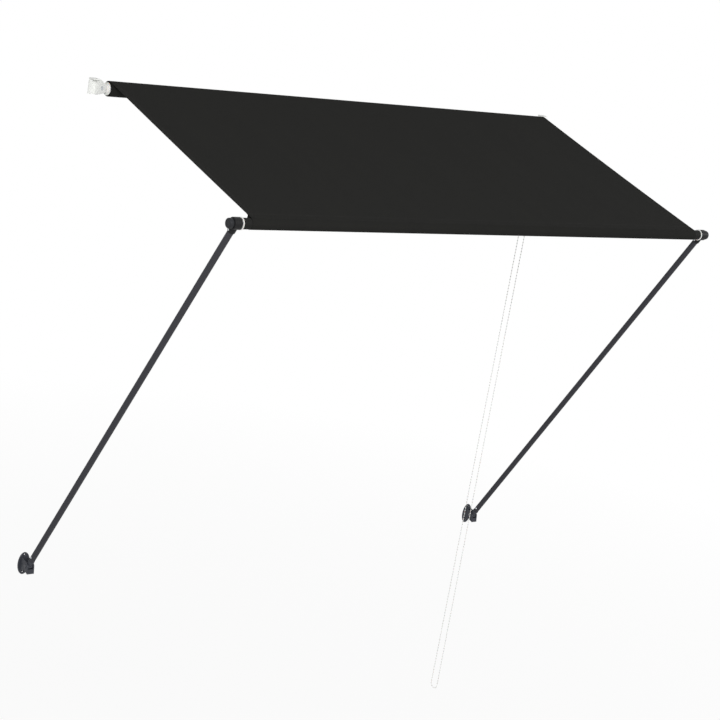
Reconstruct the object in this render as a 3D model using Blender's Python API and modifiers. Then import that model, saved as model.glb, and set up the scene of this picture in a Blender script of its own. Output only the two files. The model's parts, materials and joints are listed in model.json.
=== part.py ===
"""Drop arm awning: a cloth wound on a wall roller, a front bar, and two straight arms that hinge on the wall.

Metres, Z up. The wall is the plane y = 0 and the awning stands out from it along -Y. The origin is on the
wall, half way along the roller and at the height of its axis. The arms are as long as the distance from
their wall hinges to the roller, so that roller, hinge and bar make a triangle with two equal sides.
"""
from math import asin, atan2, cos, hypot, pi, radians, sin, sqrt

import bmesh
import bpy

for old_object in list(bpy.data.objects):
    bpy.data.objects.remove(old_object, do_unlink=True)

# Overall layout
CLOTH_WIDTH = 1.940
BAR_OVERHANG = 0.030
ARM_LENGTH = 1.600
ARM_OPENING = radians(30.9)
ROLLER_OUT = 0.045
ARM_HINGE_OUT = 0.036
FIT = 0.0003

# Cloth
CLOTH_THICKNESS = 0.0006
HEM_THICKNESS = 0.0011
HEM_EDGE = 0.0005
SIDE_HEM_WIDTH = 0.018

# Roller tube, the cloth on it, and its left end
ROLLER_RADIUS = 0.019
ROLLER_WALL = 0.0012
ROLLER_OVERHANG = 0.002
ROLL_BUILD = 0.0052
ROLL_TURNS = 3
TURN_STEP = 0.0006
PLUG_DEPTH = 0.036
PLUG_FLANGE = 0.003
PLUG_LIP = 0.0015
IDLE_STEP_RADIUS = 0.016
IDLE_STEP = 0.002
IDLE_BOSS_RADIUS = 0.013
IDLE_BOSS_LENGTH = 0.006
IDLE_PLAY = 0.001
AXLE_RADIUS = 0.004
AXLE_CHAMFER = 0.001
AXLE_SHORT_OF_PLUG = 0.004
RIVET_HEAD_RADIUS = 0.0065
RIVET_HEAD_HEIGHT = 0.0018
RIVET_RIM_HEIGHT = 0.0006
RIVET_CROWN_RADIUS = 0.0039

# Bead chain, its wheel and the clutch
BEAD_DIAMETER = 0.0045
BEAD_PITCH = 0.012
CHAIN_DROP = 2.350
CHAIN_BELLY = 0.0025
CHAIN_ENDS_GAP = 0.001
WHEEL_POCKETS = 8
WHEEL_WIDTH = 0.0092
WHEEL_CHAMFER = 0.0008
WHEEL_SIDE_GAP = 0.0005
RIM_BELOW_CHAIN = 0.0003
GROOVE_DRAFT = 0.0006
POCKET_DEPTH = 0.0008
CLUTCH_SHAFT_RADIUS = 0.008
CLUTCH_FLANGE_RADIUS = 0.012
CLUTCH_FLANGE = 0.002
CLUTCH_SHORT_OF_SLEEVE = 0.002
SPRING_WIRE = 0.0012
SPRING_TURNS = 4
SPRING_INSET = 0.006
GUARD_WALL = 0.002
GUARD_SKIRT = 0.015

# Roller brackets
PLATE = 0.003
PLATE_EDGE = 0.0005
CHEEK_TOP = 0.025
CHEEK_BOTTOM = 0.026
CHEEK_FOOT = 0.014
CHEEK_NOSE_RADIUS = 0.018
NOSE_TOP_ANGLE = 72
NOSE_BOTTOM_ANGLE = -48
FLANGE_WIDTH = 0.024
TOP_FLANGE_DEPTH = 0.026
WALL_HOLE_OUTBOARD = 0.0132
WALL_HOLES_DROP = 0.002
WALL_HOLE_PITCH = 0.035
WALL_HOLE_RADIUS = 0.0026

# Front bar and its end fittings
BAR_RADIUS = 0.0165
BAR_WALL = 0.0012
BAR_PLUG_FLANGE = 0.0026
BAR_PLUG_LIP = 0.0025
BAR_PLUG_CHAMFER = 0.0008
BAR_PLUG_DEPTH = 0.030
BAR_PLUG_LEAD = 0.002
BOLT_RADIUS = 0.004
BOLT_TIP_CHAMFER = 0.001
BOLT_TIP_GAP = 0.001
BOLT_HEAD_RADIUS = 0.0075
BOLT_HEAD_HEIGHT = 0.005
WASHER = 0.0012
WASHER_RADIUS = 0.010
KNOB_RADIUS = 0.0155
KNOB_HEIGHT = 0.015
KNOB_CAP = 0.004
KNOB_DISH = 0.0006
KNOB_DISH_RADIUS = 0.006
KNOB_ROUNDING = 0.0045
KNOB_NECK_INSET = 0.0025
KNOB_NECK = 0.0015
KNOB_SHOULDER = 0.004

# Arms
ARM_RADIUS = 0.010
ARM_WALL = 0.0012
HEAD_RADIUS = 0.0185
HEAD_ROUNDING = 0.0022
HEAD_SLEEVE_WALL = 0.0023
HEAD_SIDE_WALL = 0.0005
HEAD_SLEEVE_LENGTH = 0.0125
HEAD_TUBE_STOP = 0.0125
FOOT_EYE_RADIUS = 0.012
FOOT_THICKNESS = 0.018
FOOT_ROUNDING = 0.0012
FOOT_COLLAR_START = 0.026
FOOT_COLLAR = 0.004
FOOT_COLLAR_LIP = 0.0008
FOOT_COLLAR_RAMP = 0.002
FOOT_SPIGOT = 0.032
SPIGOT_CHAMFER = 0.001
SPIGOT_LEAD = 0.002
ARM_RIVET_RADIUS = 0.002
ARM_RIVET_HEAD_RADIUS = 0.0036
ARM_RIVET_CROWN_RADIUS = 0.0022
ARM_RIVET_RIM_HEIGHT = 0.0004
ARM_RIVET_HEIGHT = 0.0014

# Wall brackets of the arms
BASE_WIDTH = 0.044
BASE_THICKNESS = 0.006
BASE_ROUNDING = 0.0018
BASE_ABOVE_EARS = 0.015
BASE_BELOW_EARS = 0.013
BASE_HOLE_INSET = 0.008
BASE_SINK_RADIUS = 0.005
BASE_SINK_DEPTH = 0.0025
EAR_THICKNESS = 0.004
EAR_CLEARANCE = 0.0008
EAR_WEB = 0.005
EAR_SINK = 0.001
EAR_BOSS_RADIUS = 0.0145
EAR_ROOT_TOP = 0.021
EAR_ROOT_BOTTOM = 0.029
BEAK_OUT = 0.0535
BEAK_DOWN = 0.0225
BEAK_HOLLOW_OUT = 0.026
BEAK_HOLLOW_DOWN = 0.0095
HINGE_PIN_RADIUS = 0.004
HINGE_PIN_LIP = 0.003
HINGE_PIN_HEAD = 0.002
HINGE_PIN_CHAMFER = 0.001
CLIP_THICKNESS = 0.001
CLIP_LIP = 0.0028
CLIP_MOUTH_ANGLE = 80
CLIP_GROOVE_DEPTH = 0.0010
PIN_TAIL = 0.0022

# How far a cutter stands clear of what it cuts
OVERCUT = 0.002

# The linkage: wall hinge, roller and front bar
HINGE_DROP = sqrt(ARM_LENGTH ** 2 - (ROLLER_OUT - ARM_HINGE_OUT) ** 2)
ARM_LEAN = ARM_OPENING + asin((ROLLER_OUT - ARM_HINGE_OUT) / ARM_LENGTH)
BAR_OUT = ARM_HINGE_OUT + ARM_LENGTH * sin(ARM_LEAN)
BAR_DROP = HINGE_DROP - ARM_LENGTH * cos(ARM_LEAN)
CLOTH_TILT = atan2(BAR_DROP, BAR_OUT - ROLLER_OUT)

# Along the roller, from its middle outward
ROLL_END = CLOTH_WIDTH / 2
TUBE_END = ROLL_END + ROLLER_OVERHANG
PLUG_INNER = TUBE_END - PLUG_DEPTH
WHEEL_INNER = TUBE_END + PLUG_FLANGE
WHEEL_OUTER = WHEEL_INNER + WHEEL_WIDTH
CHAIN_X = (WHEEL_INNER + WHEEL_OUTER) / 2
CLUTCH_FLANGE_START = WHEEL_OUTER + WHEEL_SIDE_GAP
CHEEK_INNER = CLUTCH_FLANGE_START + CLUTCH_FLANGE + FIT
CHEEK_OUTER = CHEEK_INNER + PLATE
RIVET_SEAT = CHEEK_OUTER + FIT

# Round the roller
TUBE_INNER_RADIUS = ROLLER_RADIUS - ROLLER_WALL
PLUG_FLANGE_RADIUS = ROLLER_RADIUS + PLUG_LIP
ROLL_INNER_RADIUS = ROLLER_RADIUS + FIT
ROLL_RADIUS = ROLL_INNER_RADIUS + ROLL_BUILD
CHAIN_RADIUS = WHEEL_POCKETS * BEAD_PITCH / (2 * pi)
GROOVE_RADIUS = CHAIN_RADIUS - BEAD_DIAMETER / 2 - FIT
GROOVE_HALF_WIDTH = BEAD_DIAMETER / 2 + FIT

# Along the front bar, from its middle outward
BAR_END = ROLL_END + BAR_OVERHANG
BAR_PLUG_INNER = BAR_END - BAR_PLUG_DEPTH
BAR_FLANGE_END = BAR_END + FIT + BAR_PLUG_FLANGE
HEAD_SLEEVE_RADIUS = ARM_RADIUS + FIT + HEAD_SLEEVE_WALL
HEAD_THICKNESS = 2 * (HEAD_SLEEVE_RADIUS + HEAD_SIDE_WALL)
HEAD_INNER = BAR_FLANGE_END + FIT + WASHER + FIT
HEAD_OUTER = HEAD_INNER + HEAD_THICKNESS
ARM_X = (HEAD_INNER + HEAD_OUTER) / 2
KNOB_INNER = HEAD_OUTER + FIT
KNOB_END = KNOB_INNER + KNOB_HEIGHT
KNOB_BORE_END = KNOB_END - KNOB_CAP
HEM_INNER_RADIUS = BAR_RADIUS + FIT
HEM_OUTER_RADIUS = HEM_INNER_RADIUS + HEM_THICKNESS

# Along an arm, from its wall hinge
FOOT_COLLAR_END = FOOT_COLLAR_START + FOOT_COLLAR
FOOT_SPIGOT_END = FOOT_COLLAR_END + FOOT_SPIGOT
FOOT_RIVET_UP = (FOOT_COLLAR_END + FOOT_SPIGOT_END) / 2
FOOT_NECK_RADIUS = FOOT_THICKNESS / 2
HEAD_SLEEVE_START = ARM_LENGTH - HEAD_RADIUS - HEAD_SLEEVE_LENGTH
HEAD_RIVET_UP = HEAD_SLEEVE_START + HEAD_SLEEVE_LENGTH / 2
ARM_TUBE_START = FOOT_COLLAR_END + FIT
ARM_TUBE_END = ARM_LENGTH - HEAD_TUBE_STOP

# Across an arm's wall bracket
EAR_INNER = FOOT_THICKNESS / 2 + EAR_CLEARANCE
EAR_OUTER = EAR_INNER + EAR_THICKNESS
BASE_TOP = EAR_ROOT_TOP + BASE_ABOVE_EARS
BASE_BOTTOM = EAR_ROOT_BOTTOM + BASE_BELOW_EARS

# Rotations: a turned piece's own Z axis along X, and a flat outline stood up square to X
OUTWARD = {1: (0.0, pi / 2, 0.0), -1: (0.0, -pi / 2, 0.0)}
UPRIGHT = (pi / 2, 0.0, -pi / 2)

SIDES = {"left": -1, "right": 1}


def new_collection(name):
    collection = bpy.data.collections.new(name)
    bpy.context.scene.collection.children.link(collection)
    return collection


PARTS = new_collection("drop_arm_awning")
CUTTERS = new_collection("cutters")


def make_material(name, colour, roughness, metallic=0.0):
    material = bpy.data.materials.new(name)
    material.use_nodes = True
    shader = material.node_tree.nodes["Principled BSDF"]
    shader.inputs["Base Color"].default_value = (*colour, 1.0)
    shader.inputs["Roughness"].default_value = roughness
    shader.inputs["Metallic"].default_value = metallic
    return material


CLOTH = make_material("woven polyester", (0.022, 0.022, 0.020), 0.9)
WHITE = make_material("white nylon", (0.80, 0.80, 0.78), 0.45)
WHITE_PAINT = make_material("white powder coat", (0.78, 0.79, 0.77), 0.5)
ARM_COAT = make_material("anthracite powder coat", (0.058, 0.058, 0.072), 0.55)
DARK_PLASTIC = make_material("dark grey nylon", (0.045, 0.048, 0.054), 0.5)
BAR_COAT = make_material("black powder coat", (0.024, 0.024, 0.022), 0.5)
ALUMINIUM = make_material("mill finish aluminium", (0.62, 0.62, 0.62), 0.4, 1.0)
STEEL = make_material("zinc plated steel", (0.55, 0.56, 0.58), 0.35, 1.0)
SPRING_STEEL = make_material("spring steel", (0.30, 0.30, 0.31), 0.3, 1.0)


def make_axis(name, location, tilt=0.0):
    """An empty on a hinge axis that runs along X, tipped outward by tilt."""
    empty = bpy.data.objects.new(name, None)
    empty.empty_display_size = 0.05
    empty.location = location
    empty.rotation_euler = (tilt, 0.0, 0.0)
    PARTS.objects.link(empty)
    return empty


def set_place(obj, parent, location, rotation):
    obj.parent = parent
    obj.location = location
    obj.rotation_euler = rotation
    return obj


def finish(obj, material):
    """Give a solid its material, and shade its round sides smooth."""
    obj.data.materials.clear()
    obj.data.materials.append(material)
    if obj.type == "MESH" and obj.data.polygons:
        obj.data.shade_smooth()
        obj.data.set_sharp_from_angle(angle=radians(35))


def mark_cutter(obj):
    """A shape that only cuts or joins: wire in the view and left out of renders."""
    for collection in list(obj.users_collection):
        collection.objects.unlink(obj)
    CUTTERS.objects.link(obj)
    obj.hide_render = True
    obj.display_type = "WIRE"


def turned(name, profile, hollow=False, steps=24, parent=None, location=(0, 0, 0), rotation=(0, 0, 0)):
    """Spin a profile of (radius, along) pairs, listed down its outer side and, if hollow, back up the bore."""
    mesh = bpy.data.meshes.new(name)
    corners = [(radius, 0.0, along) for radius, along in profile]
    edges = [(i, i + 1) for i in range(len(corners) - 1)]
    if hollow:
        edges.append((len(corners) - 1, 0))
    mesh.from_pydata(corners, edges, [])
    obj = bpy.data.objects.new(name, mesh)
    PARTS.objects.link(obj)
    spin = obj.modifiers.new("Spin", "SCREW")
    spin.axis = "Z"
    spin.steps = steps
    spin.render_steps = steps
    spin.use_merge_vertices = True
    spin.merge_threshold = 0.000001
    spin.use_smooth_shade = True
    return set_place(obj, parent, location, rotation)


def sheet_outline(name, outlines, thickness, parent=None, location=(0, 0, 0), rotation=(0, 0, 0)):
    """A flat piece: closed outlines of (x, y) points filled and made thick about their own plane."""
    curve = bpy.data.curves.new(name, "CURVE")
    curve.dimensions = "2D"
    curve.fill_mode = "BOTH"
    curve.extrude = thickness / 2
    for outline in outlines:
        spline = curve.splines.new("POLY")
        spline.points.add(len(outline) - 1)
        for point, (x, y) in zip(spline.points, outline):
            point.co = (x, y, 0.0, 1.0)
        spline.use_cyclic_u = True
    obj = bpy.data.objects.new(name, curve)
    PARTS.objects.link(obj)
    return set_place(obj, parent, location, rotation)


def wire(name, points, diameter, location=(0, 0, 0), rotation=(0, 0, 0)):
    """A round wire or cord through a list of (x, y, z) points, with flat ends."""
    curve = bpy.data.curves.new(name, "CURVE")
    curve.dimensions = "3D"
    curve.bevel_depth = diameter / 2
    curve.bevel_resolution = 2
    curve.use_fill_caps = True
    spline = curve.splines.new("POLY")
    spline.points.add(len(points) - 1)
    for point, place in zip(spline.points, points):
        point.co = (*place, 1.0)
    obj = bpy.data.objects.new(name, curve)
    PARTS.objects.link(obj)
    return set_place(obj, None, location, rotation)


def as_mesh(curve_object):
    """Turn a curve object into a mesh object with its caps welded."""
    bpy.context.view_layer.update()
    evaluated = curve_object.evaluated_get(bpy.context.evaluated_depsgraph_get())
    mesh = bpy.data.meshes.new_from_object(evaluated)
    work = bmesh.new()
    work.from_mesh(mesh)
    bmesh.ops.remove_doubles(work, verts=work.verts, dist=0.00001)
    bmesh.ops.recalc_face_normals(work, faces=work.faces)
    work.to_mesh(mesh)
    work.free()
    name = curve_object.name
    parent = curve_object.parent
    world = curve_object.matrix_world.copy()
    bpy.data.objects.remove(curve_object, do_unlink=True)
    obj = bpy.data.objects.new(name, mesh)
    PARTS.objects.link(obj)
    obj.parent = parent
    obj.matrix_world = world
    return obj


def own_primitive(name):
    """Name the primitive that was just added and move it to the awning's collection."""
    obj = bpy.context.active_object
    obj.name = name
    obj.data.name = name
    for collection in list(obj.users_collection):
        collection.objects.unlink(obj)
    PARTS.objects.link(obj)
    return obj


def cylinder(name, radius, start, end, parent=None, location=(0, 0, 0), rotation=(0, 0, 0), sides=24):
    """A plain cylinder along its own Z axis from start to end."""
    bpy.ops.mesh.primitive_cylinder_add(vertices=sides, radius=radius, depth=end - start)
    obj = own_primitive(name)
    for vertex in obj.data.vertices:
        vertex.co.z += (start + end) / 2
    return set_place(obj, parent, location, rotation)


def block(name, low, high, location=(0, 0, 0)):
    """A box between two corners."""
    bpy.ops.mesh.primitive_cube_add(size=1.0)
    obj = own_primitive(name)
    for vertex in obj.data.vertices:
        vertex.co = [lo + (0.5 + c) * (hi - lo) for lo, hi, c in zip(low, high, vertex.co)]
    return set_place(obj, None, location, (0, 0, 0))


def combine(obj, other, operation):
    """Join another shape to a solid, or cut it away."""
    mark_cutter(other)
    step = obj.modifiers.new(f"{operation.title()} {other.name}", "BOOLEAN")
    step.operation = operation
    step.object = other
    step.solver = "EXACT"


def bevel(obj, width, segments):
    step = obj.modifiers.new("Rounded edges", "BEVEL")
    step.width = width
    step.segments = segments
    step.limit_method = "ANGLE"
    step.angle_limit = radians(40)


def arc(centre, radius, start, end, count):
    """Points on a circle from one angle to another, both in degrees."""
    angles = [radians(start + (end - start) * i / count) for i in range(count + 1)]
    return [(centre[0] + radius * cos(a), centre[1] + radius * sin(a)) for a in angles]


def ring(outer, inner, high, low):
    """Profile of a plain ring or tube."""
    return [(outer, high), (outer, low), (inner, low), (inner, high)]


def rivet_head():
    """Profile of the low domed head that is closed over a bracket's cheek, ending on the shank."""
    return [
        (0.0, RIVET_SEAT + RIVET_HEAD_HEIGHT),
        (RIVET_CROWN_RADIUS, RIVET_SEAT + RIVET_HEAD_HEIGHT),
        (RIVET_HEAD_RADIUS, RIVET_SEAT + RIVET_RIM_HEIGHT),
        (RIVET_HEAD_RADIUS, RIVET_SEAT),
        (AXLE_RADIUS, RIVET_SEAT),
    ]


ROLLER_AXIS = make_axis("roller_axis", (0, -ROLLER_OUT, 0))
CLOTH_AXIS = make_axis("cloth_axis", (0, -ROLLER_OUT, 0), CLOTH_TILT)
BAR_AXIS = make_axis("bar_axis", (0, -BAR_OUT, -BAR_DROP), CLOTH_TILT)
ARM_AXES = {
    name: make_axis(f"arm_{name}_axis", (side * ARM_X, -ARM_HINGE_OUT, -HINGE_DROP), ARM_LEAN)
    for name, side in SIDES.items()
}


def make_roller():
    """Aluminium tube with the wound cloth on it."""
    tube = turned(
        "roller_tube", ring(ROLLER_RADIUS, TUBE_INNER_RADIUS, TUBE_END, -TUBE_END),
        hollow=True, parent=ROLLER_AXIS, rotation=OUTWARD[1],
    )
    finish(tube, ALUMINIUM)

    # Every second layer of the cloth stands a little proud at the ends of the roll
    layer = ROLL_BUILD / ROLL_TURNS
    end_face = []
    for i in range(ROLL_TURNS):
        along = ROLL_END - TURN_STEP * (i % 2)
        end_face += [(ROLL_RADIUS - i * layer, along), (ROLL_RADIUS - (i + 1) * layer, along)]
    other_end = [(radius, -along) for radius, along in end_face]
    profile = end_face[::-1] + other_end
    roll = turned("cloth_roll", profile, hollow=True, steps=28, parent=ROLLER_AXIS, rotation=OUTWARD[1])
    finish(roll, CLOTH)


def make_idle_end():
    """White plug in the left end of the tube, turning on a pin that is riveted in the bracket."""
    spigot = TUBE_INNER_RADIUS - FIT
    flange_start = TUBE_END + FIT
    flange_end = TUBE_END + PLUG_FLANGE
    step_end = flange_end + IDLE_STEP
    boss_end = flange_end + IDLE_BOSS_LENGTH
    bore = AXLE_RADIUS + FIT
    plug = turned("idle_plug", [
        (bore, boss_end),
        (IDLE_BOSS_RADIUS, boss_end),
        (IDLE_BOSS_RADIUS, step_end),
        (IDLE_STEP_RADIUS, step_end),
        (IDLE_STEP_RADIUS, flange_end),
        (PLUG_FLANGE_RADIUS, flange_end),
        (PLUG_FLANGE_RADIUS, flange_start),
        (spigot, flange_start),
        (spigot, PLUG_INNER),
        (bore, PLUG_INNER),
    ], hollow=True, parent=ROLLER_AXIS, rotation=OUTWARD[-1])
    finish(plug, WHITE)

    tip = PLUG_INNER + AXLE_SHORT_OF_PLUG
    collar_start = boss_end + IDLE_PLAY
    pin = turned("idle_pin", [
        *rivet_head(),
        (AXLE_RADIUS, CHEEK_INNER - FIT),
        (RIVET_HEAD_RADIUS, CHEEK_INNER - FIT),
        (RIVET_HEAD_RADIUS, collar_start),
        (AXLE_RADIUS, collar_start),
        (AXLE_RADIUS, tip + AXLE_CHAMFER),
        (AXLE_RADIUS - AXLE_CHAMFER, tip),
        (0.0, tip),
    ], steps=16, location=(0, -ROLLER_OUT, 0), rotation=OUTWARD[-1])
    finish(pin, STEEL)


def make_chain_wheel():
    """Grooved wheel with a round pocket for every bead of the chain that lies on it."""
    rim = CHAIN_RADIUS - RIM_BELOW_CHAIN
    bore = CLUTCH_SHAFT_RADIUS + FIT
    wheel = turned("chain_wheel", [
        (bore, WHEEL_OUTER),
        (rim - WHEEL_CHAMFER, WHEEL_OUTER),
        (rim, WHEEL_OUTER - WHEEL_CHAMFER),
        (rim, CHAIN_X + GROOVE_HALF_WIDTH),
        (GROOVE_RADIUS, CHAIN_X + GROOVE_HALF_WIDTH - GROOVE_DRAFT),
        (GROOVE_RADIUS, CHAIN_X - GROOVE_HALF_WIDTH + GROOVE_DRAFT),
        (rim, CHAIN_X - GROOVE_HALF_WIDTH),
        (rim, WHEEL_INNER + WHEEL_CHAMFER),
        (rim - WHEEL_CHAMFER, WHEEL_INNER),
        (bore, WHEEL_INNER),
    ], hollow=True, parent=ROLLER_AXIS, rotation=OUTWARD[1])

    mesh = bpy.data.meshes.new("bead_pockets")
    work = bmesh.new()
    for i in range(WHEEL_POCKETS):
        angle = 2 * pi * (i + 0.5) / WHEEL_POCKETS
        ball = bmesh.ops.create_uvsphere(
            work, u_segments=8, v_segments=6, radius=BEAD_DIAMETER / 2 + POCKET_DEPTH
        )
        place = (CHAIN_RADIUS * cos(angle), CHAIN_RADIUS * sin(angle), CHAIN_X)
        bmesh.ops.translate(work, verts=ball["verts"], vec=place)
    work.to_mesh(mesh)
    work.free()
    pockets = bpy.data.objects.new("bead_pockets", mesh)
    CUTTERS.objects.link(pockets)
    set_place(pockets, ROLLER_AXIS, (0, 0, 0), OUTWARD[1])
    combine(wheel, pockets, "DIFFERENCE")
    finish(wheel, WHITE)


def make_clutch():
    """Wrap spring clutch in the right end: driven sleeve, fixed core, spring and guard."""
    flange_start = TUBE_END + FIT
    sleeve_end = WHEEL_INNER - FIT
    sleeve_inner = CLUTCH_SHAFT_RADIUS + SPRING_WIRE + 3 * FIT
    sleeve_outer = TUBE_INNER_RADIUS - FIT
    sleeve = turned("drive_sleeve", [
        (sleeve_inner, sleeve_end),
        (PLUG_FLANGE_RADIUS, sleeve_end),
        (PLUG_FLANGE_RADIUS, flange_start),
        (sleeve_outer, flange_start),
        (sleeve_outer, PLUG_INNER),
        (sleeve_inner, PLUG_INNER),
    ], hollow=True, parent=ROLLER_AXIS, rotation=OUTWARD[1])
    finish(sleeve, WHITE)

    tip = PLUG_INNER + CLUTCH_SHORT_OF_SLEEVE
    core = turned("clutch_core", [
        *rivet_head(),
        (AXLE_RADIUS, CHEEK_INNER - FIT),
        (CLUTCH_FLANGE_RADIUS, CHEEK_INNER - FIT),
        (CLUTCH_FLANGE_RADIUS, CLUTCH_FLANGE_START),
        (CLUTCH_SHAFT_RADIUS, CLUTCH_FLANGE_START),
        (CLUTCH_SHAFT_RADIUS, tip + AXLE_CHAMFER),
        (CLUTCH_SHAFT_RADIUS - AXLE_CHAMFER, tip),
        (0.0, tip),
    ], steps=20, location=(0, -ROLLER_OUT, 0), rotation=OUTWARD[1])
    finish(core, WHITE)

    coil_radius = CLUTCH_SHAFT_RADIUS + SPRING_WIRE / 2 + 1.5 * FIT
    coil_length = PLUG_DEPTH - 2 * SPRING_INSET
    points_per_turn = 11
    count = SPRING_TURNS * points_per_turn
    coil = []
    for i in range(count + 1):
        angle = 2 * pi * i / points_per_turn
        along = PLUG_INNER + SPRING_INSET + coil_length * i / count
        coil.append((coil_radius * cos(angle), coil_radius * sin(angle), along))
    spring = wire("clutch_spring", coil, SPRING_WIRE, location=(0, -ROLLER_OUT, 0), rotation=OUTWARD[1])
    finish(spring, SPRING_STEEL)

    inner = CHAIN_RADIUS + BEAD_DIAMETER / 2 + 2 * FIT
    outer = inner + GUARD_WALL
    outline = [(outer, -GUARD_SKIRT)] + arc((0, 0), outer, 0, 180, 16) + [(-outer, -GUARD_SKIRT)]
    outline += [(-inner, -GUARD_SKIRT)] + arc((0, 0), inner, 180, 0, 16) + [(inner, -GUARD_SKIRT)]
    guard_end = CHEEK_INNER - FIT
    guard = sheet_outline(
        "clutch_guard", [outline], guard_end - WHEEL_INNER,
        location=((WHEEL_INNER + guard_end) / 2, -ROLLER_OUT, 0), rotation=UPRIGHT,
    )
    finish(guard, WHITE)


def make_chain():
    """Endless bead chain: over the wheel, down one side, round the free bottom loop and up again."""
    bottom = -CHAIN_DROP + CHAIN_RADIUS
    quarter_steps = 6
    strand_steps = 15
    top_start = pi / 2 - CHAIN_ENDS_GAP / 2 / CHAIN_RADIUS
    half = []
    for i in range(quarter_steps + 1):
        angle = top_start * (1 - i / quarter_steps)
        half.append((CHAIN_RADIUS * cos(angle), CHAIN_RADIUS * sin(angle)))
    for i in range(1, strand_steps + 1):
        share = i / strand_steps
        half.append((CHAIN_RADIUS + CHAIN_BELLY * share ** 6, bottom * share))
    for i in range(1, quarter_steps + 1):
        angle = pi / 2 * i / quarter_steps
        half.append(((CHAIN_RADIUS + CHAIN_BELLY) * cos(angle), bottom - CHAIN_RADIUS * sin(angle)))
    loop = half + [(-out, z) for out, z in half[-2::-1]]
    chain = wire("chain_loop", [(CHAIN_X, -ROLLER_OUT - out, z) for out, z in loop], BEAD_DIAMETER)
    finish(chain, WHITE)


def make_roller_bracket(name, side):
    """Pressed steel bracket: cheek that holds the roller, wall flange with two holes, short top flange."""
    nose = arc((ROLLER_OUT, 0), CHEEK_NOSE_RADIUS, NOSE_TOP_ANGLE, NOSE_BOTTOM_ANGLE, 8)
    outline = [(0, CHEEK_TOP), (TOP_FLANGE_DEPTH, CHEEK_TOP)] + nose
    outline += [(CHEEK_FOOT, -CHEEK_BOTTOM), (0, -CHEEK_BOTTOM)]
    axle_hole = arc((ROLLER_OUT, 0), AXLE_RADIUS + FIT, 0, 360, 16)[:-1]
    cheek = as_mesh(sheet_outline(
        f"roller_bracket_{name}", [outline, axle_hole], PLATE,
        location=(side * (CHEEK_INNER + CHEEK_OUTER) / 2, 0, 0), rotation=UPRIGHT,
    ))

    inner, outer = sorted((side * (CHEEK_OUTER - PLATE / 2), side * (CHEEK_OUTER + FLANGE_WIDTH)))
    wall_flange = block(f"wall_flange_{name}", (inner, -PLATE, -CHEEK_BOTTOM), (outer, 0, CHEEK_TOP))
    top_flange = block(
        f"top_flange_{name}", (inner, -TOP_FLANGE_DEPTH, CHEEK_TOP - PLATE), (outer, 0, CHEEK_TOP)
    )
    combine(cheek, wall_flange, "UNION")
    combine(cheek, top_flange, "UNION")

    for place in (1, -1):
        hole_z = -WALL_HOLES_DROP + place * WALL_HOLE_PITCH / 2
        drill = cylinder(
            f"wall_hole_{name}", WALL_HOLE_RADIUS, -OVERCUT, PLATE + OVERCUT, sides=12,
            location=(side * (CHEEK_OUTER + WALL_HOLE_OUTBOARD), 0, hole_z), rotation=(pi / 2, 0, 0),
        )
        combine(cheek, drill, "DIFFERENCE")
    bevel(cheek, PLATE_EDGE, segments=1)
    finish(cheek, WHITE_PAINT)


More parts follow.
